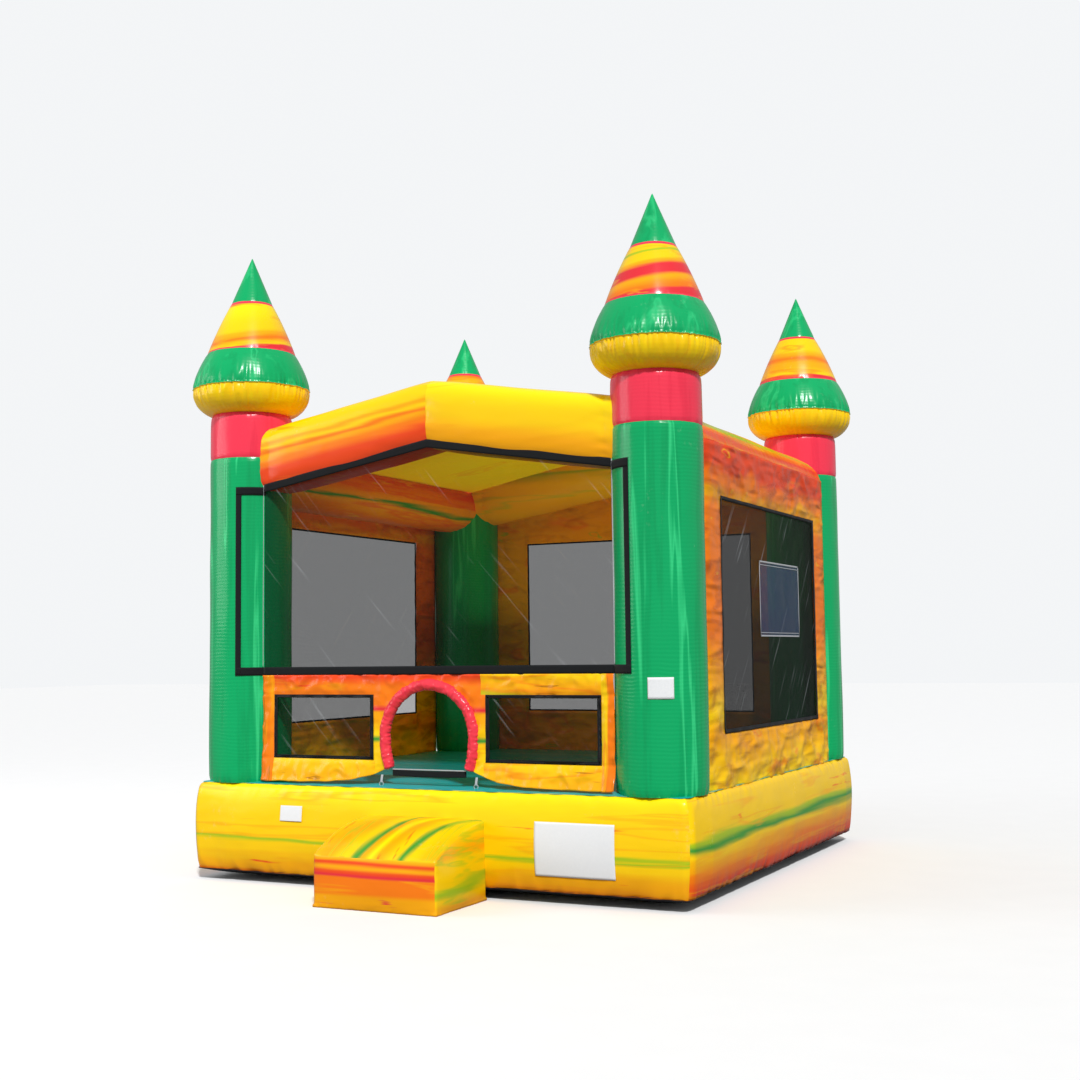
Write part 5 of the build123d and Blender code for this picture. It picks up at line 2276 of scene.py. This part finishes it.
@dataclass
class Fittings:
    """Air tube, zip flap, clear pocket, sewn labels, and the CAD pieces that keep their own shape."""

    wardrobe: Wardrobe
    nodes: dict[str, bpy.types.Object]
    tube_x: float = -1.25
    tube_z: float = 0.23
    tube_radius: float = 0.125
    strap_y: float = 2.82
    flap_left: float = -0.43
    flap_right: float = 0.73
    flap_hinge: float = 0.35
    flap_drop: float = 0.13
    pocket_size: tuple[float, float] = (0.99, 0.56)

    def tube(self) -> None:
        """Makes the air tube, drawn in under its strap."""

        def place(u: float, v: float) -> Vector:
            """Places one point of the tube.

            Args:
                u: how far along, from 0 to 1.
                v: how far across, from 0 to 1.

            Returns:
                The point.
            """
            y = 1.99 + 0.91 * u
            angle = v * TURN
            radius = self.tube_radius - 0.004 - 0.008 * gather(angle, abs(y - 2.0), 26, 0.06, 1.0)
            radius -= 0.007 * gather(angle, abs(y - self.strap_y), 30, 0.05, 2.0)
            radius += 0.004 * wave(y * 3, math.cos(angle), 0.5, 90.0)
            return Vector((self.tube_x + radius * math.cos(angle), y, self.tube_z + radius * math.sin(angle)))

        item = Piece(
            "inflation_tube", surface(110, 72, place), [self.wardrobe["tube_amber"]], "vinyl_tube",
            ["inflation_tube"], thickness=0.002,
        ).make()

    def flap(self) -> None:
        """Makes the weather flap over the zip, with its rolled top edge."""
        left, right, hinge = self.flap_left, self.flap_right, self.flap_hinge

        def hang(u: float, v: float) -> Vector:
            """Places one point of the hanging flap.

            Args:
                u: how far along, from 0 to 1.
                v: how far across, from 0 to 1.

            Returns:
                The point.
            """
            x = left + (right - left) * u
            out = 2.0175 + 0.0012 * wave(x, v, 0.12, 95.0)
            return Vector((x, out, hinge - self.flap_drop * v))

        def roll(u: float, v: float) -> Vector:
            """Places one point of the rolled edge.

            Args:
                u: how far along, from 0 to 1.
                v: how far across, from 0 to 1.

            Returns:
                The point.
            """
            angle = v * TURN
            radius = 0.0058 - 0.0006 * abs(wave(u * 1.16, math.cos(angle), 0.02, 97.0))
            return Vector(
                (
                    left + (right - left) * u, 2.013 + radius * math.cos(angle),
                    hinge + radius * math.sin(angle),
                )
            )

        mesh = joined([surface(116, 14, hang), surface(180, 14, roll)])
        item = Piece(
            "zip_flap", mesh, [self.wardrobe["base_side"]], "vinyl_base", ["zip_flap"], body="zip_flap",
            thickness=0.0012,
        ).make()

    def stitched(self, low: float, high: float, first: float, last: float) -> Mesh:
        """A flat border strip on the pocket.

        Args:
            low: its lower edge.
            high: its upper edge.
            first: where it starts along the wall.
            last: where it ends.

        Returns:
            The mesh.
        """

        def place(u: float, v: float) -> Vector:
            """Places one point of the strip."""
            return Vector((1.948, first + (last - first) * u, low + (high - low) * v))

        return surface(24, 4, place)

    def pocket(self) -> None:
        """Makes the clear pocket on the right side's net, with stitched borders."""

        def film(u: float, v: float) -> Vector:
            """Places one point of the film."""
            width, height = self.pocket_size
            return Vector((1.946 + 0.006 * dome(u, v), -0.33 + width * u, 1.76 + height * v))

        sheet = surface(50, 30, film)
        face_outward(sheet, Vector((1, 0, 0)))
        item = Piece(
            "window_pocket", sheet, [self.wardrobe["pocket_film"]], "pocket_clear", ["window_pocket"]
        ).make()
        lines = []
        for low, high, first, last in (
            (1.757, 1.769, -0.335, 0.665),
            (2.311, 2.323, -0.335, 0.665),
            (1.784, 1.789, -0.335, 0.665),
            (2.291, 2.296, -0.335, 0.665),
            (1.757, 2.323, -0.335, -0.325),
            (1.757, 2.323, 0.655, 0.665),
        ):
            lines.append(self.stitched(low, high, first, last))
        rim = Piece(
            "window_pocket_border", joined(lines), [self.wardrobe["webbing_grey"]], "webbing", [],
            thickness=0.002,
        ).make()

    def labels(self) -> None:
        """Makes the sewn labels, left blank."""
        patches = []
        for x, z, width, height in ((1.19, 0.365, 0.58, 0.355), (-1.07, 0.52, 0.19, 0.11)):

            def patch(
                u: float, v: float, x: float = x, z: float = z, width: float = width, height: float = height
            ) -> Vector:
                """Places one point of a flat label.

                Args:
                    u: how far along, from 0 to 1.
                    v: how far across, from 0 to 1.
                    x: the label's middle.
                    z: the height of its middle.
                    width: its width.
                    height: its height.

                Returns:
                    The point.
                """
                a, b = x + width * (u - 0.5), z + height * (v - 0.5)
                full = math.sin(math.pi * min(1.0, (b - 0.08) / 0.64 * 1.02)) ** 0.7
                return Vector((a, -1.987 - 0.044 * full - 0.003 * wave(a, b, 0.35, 9.0) + 0.001, b))

            patches.append(surface(40, 24, patch))

        def wrap(u: float, v: float) -> Vector:
            """Places one point of the label round the column."""
            turn = math.radians(5.5 + 31.5 * u)
            return Vector((1.69 + 0.3125 * math.sin(turn), -1.69 - 0.3125 * math.cos(turn), 1.35 + 0.14 * v))

        patches.append(surface(20, 8, wrap))
        item = Piece(
            "sewn_labels", joined(patches), [self.wardrobe["label_cloth"]], "label", ["sewn_labels"],
            thickness=0.0015,
        ).make()

    def dress_nodes(self) -> None:
        """Gives every CAD node that stays its finish."""
        kept = {
            "floor_ties": "webbing_grey", "tube_cinch_strap": "webbing_grey", "zip_tape": "zip_nylon",
            "zip_slider": "slider_nylon", "zip_pull": "slider_nylon", "anchor_loops": "webbing_grey",
            "anchor_patches": "belly_grey",
        }
        kept.update({name: "ring_steel" for name in self.nodes if name.startswith("anchor_ring")})
        for name, finish in kept.items():
            materials = self.nodes[name].data.materials
            materials.clear()
            materials.append(self.wardrobe[finish])
            LOG.info("%s keeps its shape", name)

    def build(self) -> None:
        """Makes the fittings."""
        self.tube()
        self.flap()
        self.pocket()
        self.labels()
        self.dress_nodes()


# ------------------------------------------------------------------ studio
@dataclass(frozen=True)
class Lamp:
    """One studio lamp: a sun, or a square lamp that the camera doesn't see."""

    name: str
    kind: str
    energy: float
    place: tuple[float, float, float]
    aim: tuple[float, float, float]
    size: float
    colour: tuple[float, float, float] = (1.0, 1.0, 1.0)
    mirrored: bool = True

    def hang(self) -> None:
        """Adds the lamp to the scene."""
        data = bpy.data.lights.new(self.name, self.kind)
        data.energy = self.energy
        data.color = self.colour
        if self.kind == "SUN":
            data.angle = self.size
        else:
            data.size = self.size
        item = bpy.data.objects.new(self.name, data)
        item.location = self.place
        item.rotation_euler = (Vector(self.aim) - Vector(self.place)).to_track_quat("-Z", "Y").to_euler()
        item.visible_camera = self.kind == "SUN"
        item.visible_glossy = self.mirrored
        bpy.context.scene.collection.objects.link(item)


@dataclass
class Studio:
    """Pale floor, soft light and the camera."""

    eye: tuple[float, float, float] = (5.301, -10.718, 1.655)
    yaw: float = 26.48
    pitch: float = 4.45
    roll: float = -0.70
    lens: float = 1452.3 / 1080 * 36
    ambient: float = 0.44
    backdrop: float = 0.93
    lamps: tuple[Lamp, ...] = (
        Lamp("sun", "SUN", 2.9, (6.4, -8.6, 11.5), (0, 0, 1.5), 0.08),
        Lamp("fill", "AREA", 300.0, (-9.0, -7.0, 5.0), (0, 0, 1.5), 6.0),
        Lamp("roof_glow", "AREA", 34.0, (0.0, 0.3, 1.9), (0, 0.3, 3.0), 2.4, (1.0, 0.78, 0.42), False),
    )

    def camera(self) -> None:
        """Places the camera at a standing adult's eye."""
        yaw, pitch, roll = (math.radians(v) for v in (self.yaw, self.pitch, self.roll))
        ahead = Vector((-math.sin(yaw) * math.cos(pitch), math.cos(yaw) * math.cos(pitch), math.sin(pitch)))
        right = Vector((math.cos(yaw), math.sin(yaw), 0))
        up = right.cross(ahead)
        across = right * math.cos(roll) + up * math.sin(roll)
        above = up * math.cos(roll) - right * math.sin(roll)
        data = bpy.data.cameras.new("camera")
        data.lens = self.lens
        data.sensor_width = 36
        data.clip_end = 200
        item = bpy.data.objects.new("camera", data)
        axes = Matrix((across, above, -ahead)).transposed().to_4x4()
        item.matrix_world = Matrix.Translation(self.eye) @ axes
        bpy.context.scene.collection.objects.link(item)
        bpy.context.scene.camera = item

    def lights(self) -> None:
        """Adds the lamps and a pale sky that looks brighter to the camera than it shines."""
        for lamp in self.lamps:
            lamp.hang()
        world = bpy.data.worlds.new("sky")
        bpy.context.scene.world = world
        world.use_nodes = True
        w = Wiring(world.node_tree)
        background = world.node_tree.nodes["Background"]
        background.inputs["Color"].default_value = (0.97, 0.985, 1.0, 1.0)
        seen = w.add("LightPath").outputs["Is Camera Ray"]
        strength = w.math("MULTIPLY_ADD", seen, self.backdrop - self.ambient, self.ambient)
        w.link(strength, background.inputs["Strength"])

    def ground(self) -> None:
        """Lays the floor, pale to the camera and darker in what it throws back."""
        mesh = bmesh.new()
        bmesh.ops.create_grid(mesh, x_segments=4, y_segments=4, size=60)
        data = bpy.data.meshes.new("floor")
        mesh.to_mesh(data)
        mesh.free()
        finish = bpy.data.materials.new("studio_floor")
        finish.use_nodes = True
        w = Wiring(finish.node_tree)
        shader = next(n for n in finish.node_tree.nodes if n.type == "BSDF_PRINCIPLED")
        grain = w.noise(w.add("TexCoord").outputs["Object"], 3.0, 4.0)
        pale = w.blend(grain, (0.90, 0.90, 0.90, 1), (0.93, 0.93, 0.93, 1))
        seen = w.add("LightPath").outputs["Is Camera Ray"]
        w.link(w.blend(seen, (0.24, 0.24, 0.24, 1), pale), shader.inputs["Base Color"])
        shader.inputs["Roughness"].default_value = 0.9
        data.materials.append(finish)
        item = bpy.data.objects.new("studio_ground", data)
        item.location.z = -0.001
        bpy.context.scene.collection.objects.link(item)

    def build(self) -> None:
        """Sets up the studio."""
        self.camera()
        self.lights()
        self.ground()
        settings = bpy.context.scene.view_settings
        settings.view_transform = "Standard"
        settings.look = "None"
        settings.exposure = 0.0


def main() -> None:
    """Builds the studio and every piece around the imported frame."""
    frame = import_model()
    Studio().build()
    wardrobe = Wardrobe()
    Base(wardrobe).build()
    for corner, x, y, seed in (
        ("front_left", -1.69, -1.69, 1.3),
        ("front_right", 1.69, -1.69, 5.9),
        ("back_left", -1.69, 1.69, 9.1),
        ("back_right", 1.69, 1.69, 14.7),
    ):
        Tower(wardrobe, corner, x, y, seed).build()
    Crown(wardrobe).build()
    SideWall(
        wardrobe, "side_wall_left", Facing.LEFT, "wall_side", ("side_wall_left", "side_net_left"), 3.0
    ).build()
    SideWall(
        wardrobe, "side_wall_right", Facing.RIGHT, "wall_side", ("side_wall_right", "side_net_right"), 7.0
    ).build()
    SideWall(
        wardrobe, "back_wall", Facing.BACK, "wall_back", ("back_wall", "back_net"), 11.0, eave=3.05,
        ridge=3.295,
    ).build()
    FrontWall(wardrobe, "front_wall", Facing.FRONT, "panel_front", ("front_panel", "front_net"), 15.0).build()
    EntryStep(wardrobe).build()
    Fittings(wardrobe, frame["nodes"]).build()


if __name__ == "__main__":
    main()
